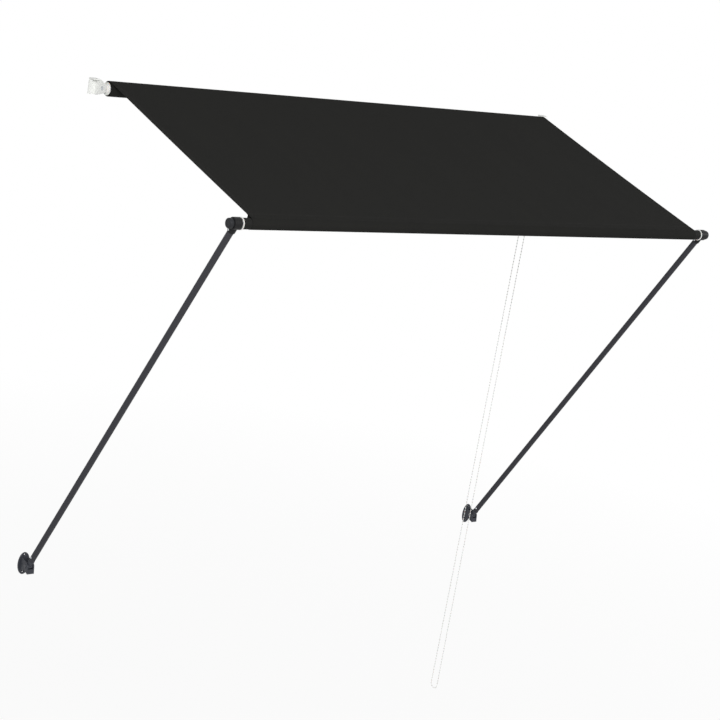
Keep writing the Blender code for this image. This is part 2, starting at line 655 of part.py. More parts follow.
def make_front_bar():
    """Tube in the cloth's front hem, with a white plug, a bolt, a washer and a knob at each end."""
    tube = turned(
        "bar_tube", ring(BAR_RADIUS, BAR_RADIUS - BAR_WALL, BAR_END, -BAR_END),
        hollow=True, parent=BAR_AXIS, rotation=OUTWARD[1],
    )
    finish(tube, BAR_COAT)
    hem = turned(
        "cloth_hem", ring(HEM_OUTER_RADIUS, HEM_INNER_RADIUS, ROLL_END, -ROLL_END),
        hollow=True, parent=BAR_AXIS, rotation=OUTWARD[1],
    )
    finish(hem, CLOTH)

    spigot = BAR_RADIUS - BAR_WALL - FIT
    flange_radius = BAR_RADIUS + BAR_PLUG_LIP
    bore = BOLT_RADIUS + FIT
    washer_inner = BAR_FLANGE_END + FIT
    head_seat = BAR_PLUG_INNER - FIT
    bolt_tip = KNOB_BORE_END - BOLT_TIP_GAP
    rim_centre = (KNOB_RADIUS - KNOB_ROUNDING, KNOB_END - KNOB_ROUNDING)
    for name, side in SIDES.items():
        plug = turned(f"bar_plug_{name}", [
            (bore, BAR_FLANGE_END),
            (flange_radius - BAR_PLUG_CHAMFER, BAR_FLANGE_END),
            (flange_radius, BAR_FLANGE_END - BAR_PLUG_CHAMFER),
            (flange_radius, BAR_END + FIT),
            (spigot, BAR_END + FIT),
            (spigot, BAR_PLUG_INNER + BAR_PLUG_LEAD),
            (spigot - SPIGOT_CHAMFER, BAR_PLUG_INNER),
            (bore, BAR_PLUG_INNER),
        ], hollow=True, parent=BAR_AXIS, rotation=OUTWARD[side])
        finish(plug, WHITE)

        bolt = turned(f"pivot_bolt_{name}", [
            (0.0, bolt_tip),
            (BOLT_RADIUS - BOLT_TIP_CHAMFER, bolt_tip),
            (BOLT_RADIUS, bolt_tip - BOLT_TIP_CHAMFER),
            (BOLT_RADIUS, head_seat),
            (BOLT_HEAD_RADIUS, head_seat),
            (BOLT_HEAD_RADIUS, head_seat - BOLT_HEAD_HEIGHT),
            (0.0, head_seat - BOLT_HEAD_HEIGHT),
        ], steps=16, parent=BAR_AXIS, rotation=OUTWARD[side])
        finish(bolt, STEEL)

        washer = turned(
            f"pivot_washer_{name}", ring(WASHER_RADIUS, bore, washer_inner + WASHER, washer_inner),
            hollow=True, steps=20, parent=BAR_AXIS, rotation=OUTWARD[side],
        )
        finish(washer, STEEL)

        knob = turned(f"knob_{name}", [
            (0.0, KNOB_END - KNOB_DISH),
            (KNOB_DISH_RADIUS, KNOB_END - KNOB_DISH),
            *arc(rim_centre, KNOB_ROUNDING, 90, 0, 3),
            (KNOB_RADIUS, KNOB_INNER + KNOB_SHOULDER),
            (KNOB_RADIUS - KNOB_NECK_INSET, KNOB_INNER + KNOB_NECK),
            (KNOB_RADIUS - KNOB_NECK_INSET, KNOB_INNER),
            (bore, KNOB_INNER),
            (bore, KNOB_BORE_END),
            (0.0, KNOB_BORE_END),
        ], parent=BAR_AXIS, rotation=OUTWARD[side])
        finish(knob, DARK_PLASTIC)


def make_cloth():
    """The stretched cloth, from the top of the roll to the top of the front hem, with folded side edges."""
    span = hypot(BAR_OUT - ROLLER_OUT, BAR_DROP)
    roll_lift = ROLL_RADIUS + FIT
    hem_lift = HEM_OUTER_RADIUS + FIT
    slope = asin((roll_lift - hem_lift) / span)
    length = sqrt(span ** 2 - (roll_lift - hem_lift) ** 2)
    half = CLOTH_WIDTH / 2
    fold = half - SIDE_HEM_WIDTH
    section = [
        (-half, 0), (half, 0), (half, HEM_THICKNESS), (fold, HEM_THICKNESS),
        (fold - HEM_EDGE, CLOTH_THICKNESS), (-fold + HEM_EDGE, CLOTH_THICKNESS),
        (-fold, HEM_THICKNESS), (-half, HEM_THICKNESS),
    ]
    middle_y = -roll_lift * sin(slope) - length / 2 * cos(slope)
    middle_z = roll_lift * cos(slope) - length / 2 * sin(slope)
    panel = sheet_outline(
        "cloth_panel", [section], length, parent=CLOTH_AXIS,
        location=(0, middle_y, middle_z), rotation=(pi / 2 + slope, 0, 0),
    )
    finish(panel, CLOTH)


def make_arm(name):
    """Steel tube with a nylon head round the bar's pivot bolt and a nylon foot on the wall hinge."""
    axis = ARM_AXES[name]
    across = OUTWARD[1]
    tube = turned(
        f"arm_tube_{name}", ring(ARM_RADIUS, ARM_RADIUS - ARM_WALL, ARM_TUBE_END, ARM_TUBE_START),
        hollow=True, parent=axis,
    )

    head = cylinder(
        f"arm_head_{name}", HEAD_RADIUS, -HEAD_THICKNESS / 2, HEAD_THICKNESS / 2,
        parent=axis, location=(0, 0, ARM_LENGTH), rotation=across,
    )
    bevel(head, HEAD_ROUNDING, segments=2)
    sleeve = cylinder(
        f"head_sleeve_{name}", HEAD_SLEEVE_RADIUS, HEAD_SLEEVE_START, ARM_LENGTH - BOLT_RADIUS,
        parent=axis,
    )
    socket = cylinder(
        f"head_socket_{name}", ARM_RADIUS + FIT, HEAD_SLEEVE_START - OVERCUT, ARM_TUBE_END + FIT,
        parent=axis,
    )
    bore = cylinder(
        f"head_bore_{name}", BOLT_RADIUS + FIT, -HEAD_THICKNESS, HEAD_THICKNESS,
        parent=axis, location=(0, 0, ARM_LENGTH), rotation=across, sides=16,
    )
    combine(head, sleeve, "UNION")
    combine(head, socket, "DIFFERENCE")
    combine(head, bore, "DIFFERENCE")

    foot = cylinder(
        f"arm_foot_{name}", FOOT_EYE_RADIUS, -FOOT_THICKNESS / 2, FOOT_THICKNESS / 2,
        parent=axis, rotation=across,
    )
    bevel(foot, FOOT_ROUNDING, segments=1)
    spigot_radius = ARM_RADIUS - ARM_WALL - FIT
    collar_radius = ARM_RADIUS + FOOT_COLLAR_LIP
    stem = turned(f"foot_stem_{name}", [
        (0.0, FOOT_SPIGOT_END),
        (spigot_radius - SPIGOT_CHAMFER, FOOT_SPIGOT_END),
        (spigot_radius, FOOT_SPIGOT_END - SPIGOT_LEAD),
        (spigot_radius, FOOT_COLLAR_END),
        (collar_radius, FOOT_COLLAR_END),
        (collar_radius, FOOT_COLLAR_START),
        (FOOT_NECK_RADIUS, FOOT_COLLAR_START - FOOT_COLLAR_RAMP),
        (FOOT_NECK_RADIUS, HINGE_PIN_RADIUS / 2),
        (0.0, HINGE_PIN_RADIUS / 2),
    ], parent=axis)
    hinge_bore = cylinder(
        f"foot_bore_{name}", HINGE_PIN_RADIUS + FIT, -FOOT_THICKNESS, FOOT_THICKNESS,
        parent=axis, rotation=across, sides=16,
    )
    combine(foot, stem, "UNION")
    combine(foot, hinge_bore, "DIFFERENCE")

    for end, solid, height, reach in (
        ("head", head, HEAD_RIVET_UP, HEAD_SLEEVE_RADIUS),
        ("foot", foot, FOOT_RIVET_UP, ARM_RADIUS),
    ):
        drill = cylinder(
            f"{end}_rivet_hole_{name}", ARM_RIVET_RADIUS + FIT, -2 * ARM_RADIUS, 2 * ARM_RADIUS,
            parent=axis, location=(0, 0, height), rotation=across, sides=12,
        )
        combine(solid, drill, "DIFFERENCE")
        combine(tube, drill, "DIFFERENCE")
        seat = reach + FIT
        half = [
            (0.0, seat + ARM_RIVET_HEIGHT),
            (ARM_RIVET_CROWN_RADIUS, seat + ARM_RIVET_HEIGHT),
            (ARM_RIVET_HEAD_RADIUS, seat + ARM_RIVET_RIM_HEIGHT),
            (ARM_RIVET_HEAD_RADIUS, seat),
            (ARM_RIVET_RADIUS, seat),
        ]
        rivet = turned(
            f"{end}_rivet_{name}", half + [(radius, -along) for radius, along in half[::-1]],
            steps=12, parent=axis, location=(0, 0, height), rotation=across,
        )
        finish(rivet, STEEL)
    finish(tube, ARM_COAT)
    finish(head, DARK_PLASTIC)
    finish(foot, DARK_PLASTIC)


def make_bracket_body(name, centre_x):
    """Moulded bracket: an oval base, and two ears with a beaked lower corner and a hollowed underside."""
    oval_sides = 28
    height = BASE_TOP + BASE_BOTTOM
    angles = [2 * pi * i / oval_sides for i in range(oval_sides)]
    oval = [(BASE_WIDTH / 2 * cos(a), height / 2 * sin(a)) for a in angles]
    base = as_mesh(sheet_outline(
        f"arm_bracket_{name}", [oval], BASE_THICKNESS,
        location=(centre_x, -BASE_THICKNESS / 2, -HINGE_DROP + (BASE_TOP - BASE_BOTTOM) / 2),
        rotation=(pi / 2, 0, 0),
    ))
    bevel(base, BASE_ROUNDING, segments=1)

    root = BASE_THICKNESS - EAR_SINK
    boss = arc((ARM_HINGE_OUT, 0), EAR_BOSS_RADIUS, 96, 4, 7)
    beak = (BEAK_OUT, -BEAK_DOWN)
    hollow = (BEAK_HOLLOW_OUT, -BEAK_HOLLOW_DOWN)
    foot = (root, -EAR_ROOT_BOTTOM)
    curve_steps = 6
    underside = []
    for i in range(curve_steps + 1):
        t = i / curve_steps
        underside.append([
            (1 - t) ** 2 * a + 2 * t * (1 - t) * b + t ** 2 * c for a, b, c in zip(beak, hollow, foot)
        ])
    ears = as_mesh(sheet_outline(
        f"ears_{name}", [[(root, EAR_ROOT_TOP)] + boss + underside], 2 * EAR_OUTER,
        location=(centre_x, 0, -HINGE_DROP), rotation=UPRIGHT,
    ))
    slot = block(
        f"ear_slot_{name}", (-EAR_INNER, -2 * BEAK_OUT, -BASE_BOTTOM),
        (EAR_INNER, -BASE_THICKNESS - EAR_WEB, BASE_TOP), location=(centre_x, 0, -HINGE_DROP),
    )
    pin_hole = cylinder(
        f"ear_hole_{name}", HINGE_PIN_RADIUS + FIT, -2 * EAR_OUTER, 2 * EAR_OUTER,
        location=(centre_x, -ARM_HINGE_OUT, -HINGE_DROP), rotation=OUTWARD[1], sides=16,
    )
    combine(base, ears, "UNION")
    combine(base, slot, "DIFFERENCE")
    combine(base, pin_hole, "DIFFERENCE")
    for hole_z in (BASE_TOP - BASE_HOLE_INSET, -BASE_BOTTOM + BASE_HOLE_INSET):
        sink = turned(f"base_hole_{name}", [
            (0.0, BASE_THICKNESS + EAR_WEB),
            (BASE_SINK_RADIUS, BASE_THICKNESS + EAR_WEB),
            (BASE_SINK_RADIUS, BASE_THICKNESS),
            (WALL_HOLE_RADIUS, BASE_THICKNESS - BASE_SINK_DEPTH),
            (WALL_HOLE_RADIUS, -OVERCUT),
            (0.0, -OVERCUT),
        ], steps=14, location=(centre_x, 0, -HINGE_DROP + hole_z), rotation=(pi / 2, 0, 0))
        combine(base, sink, "DIFFERENCE")
    finish(base, DARK_PLASTIC)


def make_hinge_pin(name, side):
    """Steel pin through both ears and the arm's foot, with its head outboard and a clip in its groove."""
    centre = (side * ARM_X, -ARM_HINGE_OUT, -HINGE_DROP)
    seat = EAR_OUTER + FIT
    head_radius = HINGE_PIN_RADIUS + HINGE_PIN_LIP
    groove_radius = HINGE_PIN_RADIUS - CLIP_GROOVE_DEPTH
    groove_end = seat + CLIP_THICKNESS + 2 * FIT
    pin = turned(f"arm_pin_{name}", [
        (0.0, seat + HINGE_PIN_HEAD),
        (head_radius - HINGE_PIN_CHAMFER, seat + HINGE_PIN_HEAD),
        (head_radius, seat + HINGE_PIN_HEAD - HINGE_PIN_CHAMFER),
        (head_radius, seat),
        (HINGE_PIN_RADIUS, seat),
        (HINGE_PIN_RADIUS, -seat),
        (groove_radius, -seat),
        (groove_radius, -groove_end),
        (HINGE_PIN_RADIUS, -groove_end),
        (HINGE_PIN_RADIUS, -groove_end - PIN_TAIL),
        (0.0, -groove_end - PIN_TAIL),
    ], steps=16, location=centre, rotation=OUTWARD[side])
    finish(pin, STEEL)

    mouth_start = -90 + CLIP_MOUTH_ANGLE / 2
    mouth_end = 270 - CLIP_MOUTH_ANGLE / 2
    outline = arc((0, 0), HINGE_PIN_RADIUS + CLIP_LIP, mouth_start, mouth_end, 14)
    outline += arc((0, 0), groove_radius + FIT, mouth_end, mouth_start, 12)
    inboard = side * (seat + FIT + CLIP_THICKNESS / 2)
    clip = sheet_outline(
        f"arm_pin_clip_{name}", [outline], CLIP_THICKNESS,
        location=(centre[0] - inboard, centre[1], centre[2]), rotation=UPRIGHT,
    )
    finish(clip, SPRING_STEEL)


make_roller()
make_idle_end()
make_chain_wheel()
make_clutch()
make_chain()
make_cloth()
make_front_bar()
for side_name, side_sign in SIDES.items():
    make_roller_bracket(side_name, side_sign)
    make_arm(side_name)
    make_bracket_body(side_name, side_sign * ARM_X)
    make_hinge_pin(side_name, side_sign)
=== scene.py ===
"""Drop arm awning before a white backdrop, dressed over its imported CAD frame.

Metres, Z up, in the frame's own coordinates: the wall is the plane y = 0 and the awning stands out along -Y.
"""
import json
from math import acos, asin, atan2, cos, hypot, pi, radians, sin, sqrt

import bmesh
import bpy
import numpy as np
from mathutils import Matrix, Vector


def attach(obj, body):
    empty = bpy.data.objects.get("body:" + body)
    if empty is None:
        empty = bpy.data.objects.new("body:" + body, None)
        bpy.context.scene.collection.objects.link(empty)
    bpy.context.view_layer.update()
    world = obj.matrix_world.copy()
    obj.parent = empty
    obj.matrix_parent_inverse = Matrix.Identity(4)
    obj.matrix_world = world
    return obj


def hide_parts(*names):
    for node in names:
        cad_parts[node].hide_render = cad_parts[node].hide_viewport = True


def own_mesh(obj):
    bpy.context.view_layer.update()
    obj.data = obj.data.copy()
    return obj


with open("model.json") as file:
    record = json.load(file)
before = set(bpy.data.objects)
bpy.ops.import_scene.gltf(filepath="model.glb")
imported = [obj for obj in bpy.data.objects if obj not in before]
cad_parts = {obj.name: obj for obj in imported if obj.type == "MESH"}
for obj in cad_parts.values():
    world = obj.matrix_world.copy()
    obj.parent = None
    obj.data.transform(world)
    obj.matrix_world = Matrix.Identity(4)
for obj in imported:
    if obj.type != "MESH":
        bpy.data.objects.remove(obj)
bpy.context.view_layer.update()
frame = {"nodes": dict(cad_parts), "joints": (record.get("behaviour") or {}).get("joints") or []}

# The view. The awning is seen from its left and from a little above the roller, with a long lens that is
# tipped ten degrees off level, so that the roller slopes down to the right as it does in the picture.
heading, tilt, roll = radians(41.824), radians(-13.863), radians(-10)
eye = (-4.1062, -4.9321, 0.6974)
lens_mm = 91.9
forward = Vector((sin(heading) * cos(tilt), cos(heading) * cos(tilt), sin(tilt)))
level = forward.cross(Vector((0, 0, 1))).normalized()
below = forward.cross(level)
picture_right = cos(roll) * level + sin(roll) * below
picture_down = cos(roll) * below - sin(roll) * level
camera = bpy.data.objects.new("camera", bpy.data.cameras.new("camera"))
camera.data.lens = lens_mm
camera.matrix_world = Matrix.Translation(eye) @ Matrix(
    (picture_right, -picture_down, -forward)
).transposed().to_4x4()
bpy.context.scene.collection.objects.link(camera)
bpy.context.scene.camera = camera

# Bead chain. Acetal beads of 4.5 mm are moulded on a thin polyester cord every 12 mm. The ends are joined, so
# that it is an endless loop. It lies in the wheel's pockets at the roller's right end and hangs free.
joints = {row["name"]: row for row in frame["joints"]}
roller_out = -joints["roller_spin"]["pos_m"][1]
chain_x = 0.9796
bead_radius, bead_pitch, cord_radius = 0.00225, 0.012, 0.0007
wheel_beads = 8
wheel_reach = wheel_beads * bead_pitch / (2 * pi)
chain_belly = 0.0025
chain_low = -2.350 + wheel_reach


def linear(code):
    """The linear colour of an sRGB hex value, by the sRGB standard's own curve."""
    share = np.array([int(code[i:i + 2], 16) for i in (1, 3, 5)]) / 255
    curve = np.where(share <= 0.04045, share / 12.92, ((share + 0.055) / 1.055) ** 2.4)
    return (*(float(value) for value in curve), 1.0)


def set_inputs(node, inputs):
    """Set a node's inputs, given by name or number: to a plain value, to the colour of a hex value, or by a
    link from an output or from the first output of a node."""
    for socket, value in inputs.items():
        if isinstance(value, bpy.types.Node):
            value = value.outputs[0]
        if isinstance(value, bpy.types.NodeSocket):
            node.id_data.links.new(value, node.inputs[socket])
        else:
            node.inputs[socket].default_value = linear(value) if isinstance(value, str) else value


def add_node(tree, kind, inputs, **settings):
    """Add a node with its settings and its inputs."""
    node = tree.nodes.new(kind)
    for key, value in settings.items():
        setattr(node, key, value)
    set_inputs(node, inputs)
    return node


def start_finish(name, plain):
    """A Principled material with plain values on its shader, and its node tree and shader."""
    material = bpy.data.materials.new(name)
    material.use_nodes = True
    shader = material.node_tree.nodes["Principled BSDF"]
    set_inputs(shader, plain)
    return material, material.node_tree, shader


def grid_faces(rows, columns, close_rows=False, close_columns=False):
    """Quads of a grid of points numbered row by row. A closed direction joins its last line to its first."""
    i = np.arange(rows if close_rows else rows - 1)[:, None]
    j = np.arange(columns if close_columns else columns - 1)[None, :]
    after_i, after_j = (i + 1) % rows, (j + 1) % columns
    corners = (i * columns + j, i * columns + after_j, after_i * columns + after_j, after_i * columns + j)
    return np.stack(corners, axis=-1).reshape(-1, 4)


def sealed(mesh):
    """The mesh with points closer than a micron joined and its faces turned outward."""
    work = bmesh.new()
    work.from_mesh(mesh)
    bmesh.ops.remove_doubles(work, verts=work.verts, dist=0.000001)
    bmesh.ops.recalc_face_normals(work, faces=work.faces)
    work.to_mesh(mesh)
    work.free()
    return mesh


def make_mesh(name, points, faces, uv=None):
    """A mesh of points and faces, its seams and poles joined. uv has a pair for each point, in metres."""
    mesh = bpy.data.meshes.new(name)
    mesh.from_pydata(np.reshape(points, (-1, 3)).tolist(), [], [[int(i) for i in face] for face in faces])
    if uv is not None:
        corners = np.empty(len(mesh.loops), dtype=np.int32)
        mesh.loops.foreach_get("vertex_index", corners)
        mesh.uv_layers.new(name="UVMap").data.foreach_set("uv", np.reshape(uv, (-1, 2))[corners].ravel())
    return sealed(mesh)


def put_piece(mesh, finish, body, slot, replaced=()):
    """Show a mesh as a piece at the origin, riding on a body of the frame. It is smooth except at edges of
    more than 38 degrees, and the flat faces of hard pieces are shaded flat up to their rounded edges."""
    mesh.shade_smooth()
    mesh.set_sharp_from_angle(angle=radians(38))
    mesh.materials.clear()
    mesh.materials.append(finish)
    piece = bpy.data.objects.new(mesh.name, mesh)
    bpy.context.scene.collection.objects.link(piece)
    if slot != "cloth":
        piece.modifiers.new("flat faces", "WEIGHTED_NORMAL").keep_sharp = True
    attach(piece, body)
    if replaced:
        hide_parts(*replaced)
    return piece


def chain_route(quarter_steps, strand_steps, start):
    """The loop as (x, y, z). Half of it is R·(cos a, sin a) over the wheel, with a falling from start to 0,
    then a strand that bellies out with the sixth power of its share, and a quarter turn at the bottom. The
    other half is its mirror image."""
    over = start * (1 - np.linspace(0, 1, quarter_steps + 1))
    share = np.linspace(0, 1, strand_steps + 1)[1:]
    under = pi / 2 * np.linspace(0, 1, quarter_steps + 1)[1:]
    out = np.concatenate([
        wheel_reach * np.cos(over), wheel_reach + chain_belly * share ** 6,
        (wheel_reach + chain_belly) * np.cos(under),
    ])
    z = np.concatenate([
        wheel_reach * np.sin(over), chain_low * share, chain_low - wheel_reach * np.sin(under),
    ])
    half = np.stack([out, z], axis=1)
    loop = np.concatenate([half, half[-2::-1] * (-1, 1)])
    return np.stack([np.full(len(loop), chain_x), -roller_out - loop[:, 0], loop[:, 1]], axis=1)


def shells(centres, ahead, across, lift, sizes, rings, around):
    """Egg-shaped shells in a row: centre + a·cos p·ahead + b·sin p·cos q·across + c·sin p·sin q·lift, with p
    from pole to pole and q round it. sizes are a, b and c."""
    p = np.linspace(0, pi, rings + 1)[None, :, None, None]
    q = np.linspace(0, 2 * pi, around, endpoint=False)[None, None, :, None]
    ahead, across, lift = (np.broadcast_to(v, centres.shape)[:, None, None] for v in (ahead, across, lift))
    points = centres[:, None, None] + sizes[0] * np.cos(p) * ahead
    points = points + sizes[1] * np.sin(p) * np.cos(q) * across + sizes[2] * np.sin(p) * np.sin(q) * lift
    one = grid_faces(rings + 1, around, close_columns=True)
    step = (rings + 1) * around * np.arange(len(centres))
    return points.reshape(-1, 3), (one[None] + step[:, None, None]).reshape(-1, 4)


# White acetal and nylon, injection moulded: satin, with a faint orange peel from the mould and no grain. The
# peel of about 0.5 mm is drawn at 0.9 mm, so that it shows.
white_nylon, tree, shader = start_finish(
    "moulded white nylon", {"Roughness": 0.42, "Subsurface Weight": 0.05, "Subsurface Scale": 0.001},
)
place = add_node(tree, "ShaderNodeTexCoord", {}).outputs["Object"]
patches = add_node(tree, "ShaderNodeTexNoise", {"Vector": place, "Scale": 1 / 0.04, "Detail": 3.0})
peel = add_node(tree, "ShaderNodeTexNoise", {"Vector": place, "Scale": 1 / 0.0009, "Detail": 2.0})
tone = add_node(tree, "ShaderNodeMix", {0: patches, 6: "#EAEAE7", 7: "#E0E0DC"}, data_type="RGBA")
gloss = add_node(tree, "ShaderNodeMapRange", {0: patches, 3: 0.38, 4: 0.50})
relief = add_node(tree, "ShaderNodeBump", {"Strength": 0.25, "Distance": 0.00004, "Height": peel})
set_inputs(shader, {"Base Color": tone.outputs[2], "Roughness": gloss, "Normal": relief})

fine_route = chain_route(24, 200, pi / 2)
along_route = np.concatenate([[0], np.cumsum(np.linalg.norm(np.diff(fine_route, axis=0), axis=1))])
chain_length = along_route[-1]
bead_count = round(chain_length / bead_pitch)
bead_at = (np.arange(bead_count) + 0.5) * chain_length / bead_count


def on_route(distance):
    """Points of the chain's route at distances along it."""
    return np.stack([np.interp(distance, along_route, fine_route[:, axis]) for axis in range(3)], axis=1)


def route_ahead(distance, reach):
    """The route's unit directions at distances along it, from the points that lie reach before and after."""
    step = on_route(distance + reach) - on_route(distance - reach)
    return step / np.linalg.norm(step, axis=1)[:, None]


bead_ahead = route_ahead(bead_at, 0.0005)
bead_points, bead_faces = shells(
    on_route(bead_at), bead_ahead, (1, 0, 0), np.cross(bead_ahead, (1, 0, 0)), (bead_radius,) * 3,
    rings=6, around=8,
)
cord_at = np.linspace(0, chain_length, 600, endpoint=False)
cord_turn = np.linspace(0, 2 * pi, 6, endpoint=False)[None, :, None]
cord_points = on_route(cord_at)[:, None] + cord_radius * (
    np.cos(cord_turn) * np.array((1, 0, 0))
    + np.sin(cord_turn) * np.cross(route_ahead(cord_at, 0.001), (1, 0, 0))[:, None]
)
cord_faces = grid_faces(len(cord_at), 6, close_rows=True, close_columns=True) + len(bead_points)
chain = put_piece(
    make_mesh("bead_chain", np.concatenate([bead_points, cord_points.reshape(-1, 3)]),
              np.concatenate([bead_faces, cord_faces])),
    white_nylon, "wall_fixings", "white_nylon", ["chain_loop"],
)

# Chain drive. A white nylon wheel with a pocket for every bead turns the roller through a wrap spring clutch:
# the sleeve is pressed in the tube, the core is riveted in the right bracket, and an arched guard covers the
# chain. Turning parts have 0.3 mm of play, and the pins of 8 mm have holes of 8.6 mm.
roller_axis = Vector((0, -roller_out, 0))
play = 0.0003
pin_radius, pin_hole = 0.004, 0.0043
plug_flange, plug_body, plug_end = 0.0205, 0.0175, 0.936
end_plane = 0.9723
wheel_inner, wheel_outer = 0.975, 0.9842
cheek_inner, cheek_outer = 0.987, 0.990


def eased(corners, cut, closed=False, count=5):
    """An outline with each corner rounded by a short parabola: corner + cut·((1 - s)²·back + s²·ahead),
    where back and ahead are unit steps along its two sides, and cut is held to 0.45 of the shorter one."""
    corners = np.array(corners, dtype=float)
    back = np.roll(corners, 1, axis=0) - corners
    ahead = np.roll(corners, -1, axis=0) - corners
    back_length = np.linalg.norm(back, axis=1)
    ahead_length = np.linalg.norm(ahead, axis=1)
    reach = np.minimum(cut, 0.45 * np.minimum(back_length, ahead_length))
    if not closed:
        reach[[0, -1]] = 0
    s = np.linspace(0, 1, count)[None, :, None]
    curve = (1 - s) ** 2 * (back / back_length[:, None])[:, None]
    curve = curve + s ** 2 * (ahead / ahead_length[:, None])[:, None]
    return (corners[:, None] + reach[:, None, None] * curve).reshape(-1, 2)


def revolved(profile, axis_point, along, steps=56):
    """A profile of (radius, distance) turned about a line: axis point + d·along + r·(cos q·u + sin q·v),
    where u and v are square to the line."""
    along = np.array(along, dtype=float) / np.linalg.norm(along)
    u = np.array((0.0, 0.0, 1.0)) if abs(along[0]) > 0.9 else np.array((1.0, 0.0, 0.0))
    v = np.cross(along, u)
    q = np.linspace(0, 2 * pi, steps, endpoint=False)[:, None]
    circle = np.cos(q) * u + np.sin(q) * v
    return np.array(axis_point) + profile[:, 1, None, None] * along + profile[:, 0, None, None] * circle


def turned_mesh(name, corners, cut, axis_point, along, steps=56, hollow=True):
    """The mesh of a turned piece. A hollow one has a profile that closes on itself."""
    profile = eased(corners, cut, closed=hollow)
    points = revolved(profile, axis_point, along, steps)
    return make_mesh(name, points, grid_faces(len(profile), steps, close_rows=hollow, close_columns=True))


def prism(outline, low, high, edge, centre, right, up, ahead, round_steps=4):
    """A flat outline made thick: centre + x·right + y·up + h·ahead. Near both faces the outline is drawn in
    by edge·(1 - sin a) at edge·(1 - cos a) from the face, a quarter round. One polygon closes each face."""
    outline = np.array(outline, dtype=float)
    side = np.roll(outline, -1, axis=0) - outline
    side /= np.linalg.norm(side, axis=1)[:, None]
    normal = np.stack([side[:, 1], -side[:, 0]], axis=1)
    miter = normal + np.roll(normal, 1, axis=0)
    miter *= 2 / np.maximum((miter ** 2).sum(axis=1), 0.6)[:, None]
    x, y = outline.T
    miter *= np.sign(np.sum(x * np.roll(y, -1) - y * np.roll(x, -1)))
    a = np.linspace(0, pi / 2, round_steps)
    inset = np.concatenate([edge * (1 - np.sin(a)), edge * (1 - np.sin(a[::-1]))])
    height = np.concatenate([low + edge * (1 - np.cos(a)), high - edge * (1 - np.cos(a[::-1]))])
    rows = outline[None] - inset[:, None, None] * miter[None]
    points = np.array(centre, dtype=float) + rows[..., :1] * np.array(right, dtype=float)
    points = points + rows[..., 1:] * np.array(up, dtype=float)
    points = points + height[:, None, None] * np.array(ahead, dtype=float)
    count, last = len(outline), (len(inset) - 1) * len(outline)
    faces = grid_faces(len(inset), count, close_columns=True).tolist()
    return points, faces + [list(range(count))[::-1], [last + i for i in range(count)]]


def circle_part(centre, radius, start, end, count):
    """Points on a circle from one angle to another, in degrees: centre + radius·(cos a, sin a)."""
    a = np.radians(np.linspace(start, end, count + 1))
    return np.stack([centre[0] + radius * np.cos(a), centre[1] + radius * np.sin(a)], axis=1)


def rivet_head(seat):
    """Corners of a low domed rivet head on a face, from its middle to the shank's edge."""
    dome, rim = seat + 0.0018, seat + 0.0006
    return [(0, dome), (0.0039, dome), (0.0065, rim), (0.0065, seat), (pin_radius, seat)]


def wheel_surface(around=128):
    """The wheel's groove profile turned about the axis. Wherever a bead's pocket reaches deeper, the radius
    drops to the pocket's floor, c·cos d - sqrt(p² - x² - c²·sin² d), for a ball of radius p whose centre is
    at radius c and at the angle d away."""
    rim, bottom, bore = wheel_reach - play, wheel_reach - bead_radius - play, 0.0083
    half, pocket = bead_radius + play, bead_radius + 0.0008
    lean, corner = 0.0006, 0.0002
    wall = np.linspace(0, 1, 7)
    groove = np.concatenate([
        np.stack([rim + (bottom - rim) * wall, chain_x + half - lean * wall], axis=1),
        np.stack([np.full(9, bottom), chain_x + (half - lean) * np.linspace(1, -1, 11)[1:-1]], axis=1),
        np.stack([bottom + (rim - bottom) * wall, chain_x - half + lean * (1 - wall)], axis=1),
    ])
    outer_edge = [(bore, wheel_outer), (rim - 0.0009, wheel_outer), (rim - 0.0003, wheel_outer - corner),
                  (rim, wheel_outer - 4 * corner)]
    inner_edge = [(rim, wheel_inner + 4 * corner), (rim - 0.0003, wheel_inner + corner),
                  (rim - 0.0009, wheel_inner), (bore, wheel_inner)]
    profile = np.concatenate([outer_edge, groove, inner_edge])
    q = np.linspace(0, 2 * pi, around, endpoint=False)
    pocket_turn = 2 * pi / wheel_beads
    away = np.abs((q % pocket_turn) - pocket_turn / 2)
    room = pocket ** 2 - (profile[:, 1] - chain_x)[:, None] ** 2 - (wheel_reach * np.sin(away)[None]) ** 2
    pocket_floor = wheel_reach * np.cos(away)[None] - np.sqrt(np.maximum(room, 0))
    radius = np.where(room > 0, np.minimum(profile[:, :1], pocket_floor), profile[:, :1])
    along = np.broadcast_to(profile[:, 1:], radius.shape)
    points = np.stack([along, -roller_out + radius * np.sin(q), radius * np.cos(q)], axis=-1)
    return points, grid_faces(len(profile), around, close_rows=True, close_columns=True)


put_piece(
    make_mesh("pocketed_wheel", *wheel_surface()), white_nylon, "roller", "white_nylon", ["chain_wheel"],
)
put_piece(turned_mesh(
    "clutch_sleeve",
    [(0.0101, 0.9747), (plug_flange, 0.9747), (plug_flange, end_plane), (plug_body, end_plane),
     (plug_body, plug_end), (0.0101, plug_end)],
    0.0005, roller_axis, (1, 0, 0),
), white_nylon, "roller", "white_nylon", ["drive_sleeve"])
put_piece(turned_mesh(
    "clutch_hub",
    [*rivet_head(cheek_outer + play), (pin_radius, cheek_inner - play), (0.012, cheek_inner - play),
     (0.012, 0.9847), (0.008, 0.9847), (0.008, 0.939), (0.007, 0.938), (0, 0.938)],
    0.0006, roller_axis, (1, 0, 0), hollow=False,
), white_nylon, "wall_fixings", "white_nylon", ["clutch_core"])
guard_inner = wheel_reach + bead_radius + 0.0006
guard_outer, guard_low = guard_inner + 0.002, -0.015
guard_outline = np.concatenate([
    [(guard_outer, guard_low)], circle_part((0, 0), guard_outer, 0, 180, 40), [(-guard_outer, guard_low)],
    [(-guard_inner, guard_low)], circle_part((0, 0), guard_inner, 180, 0, 40), [(guard_inner, guard_low)],
])
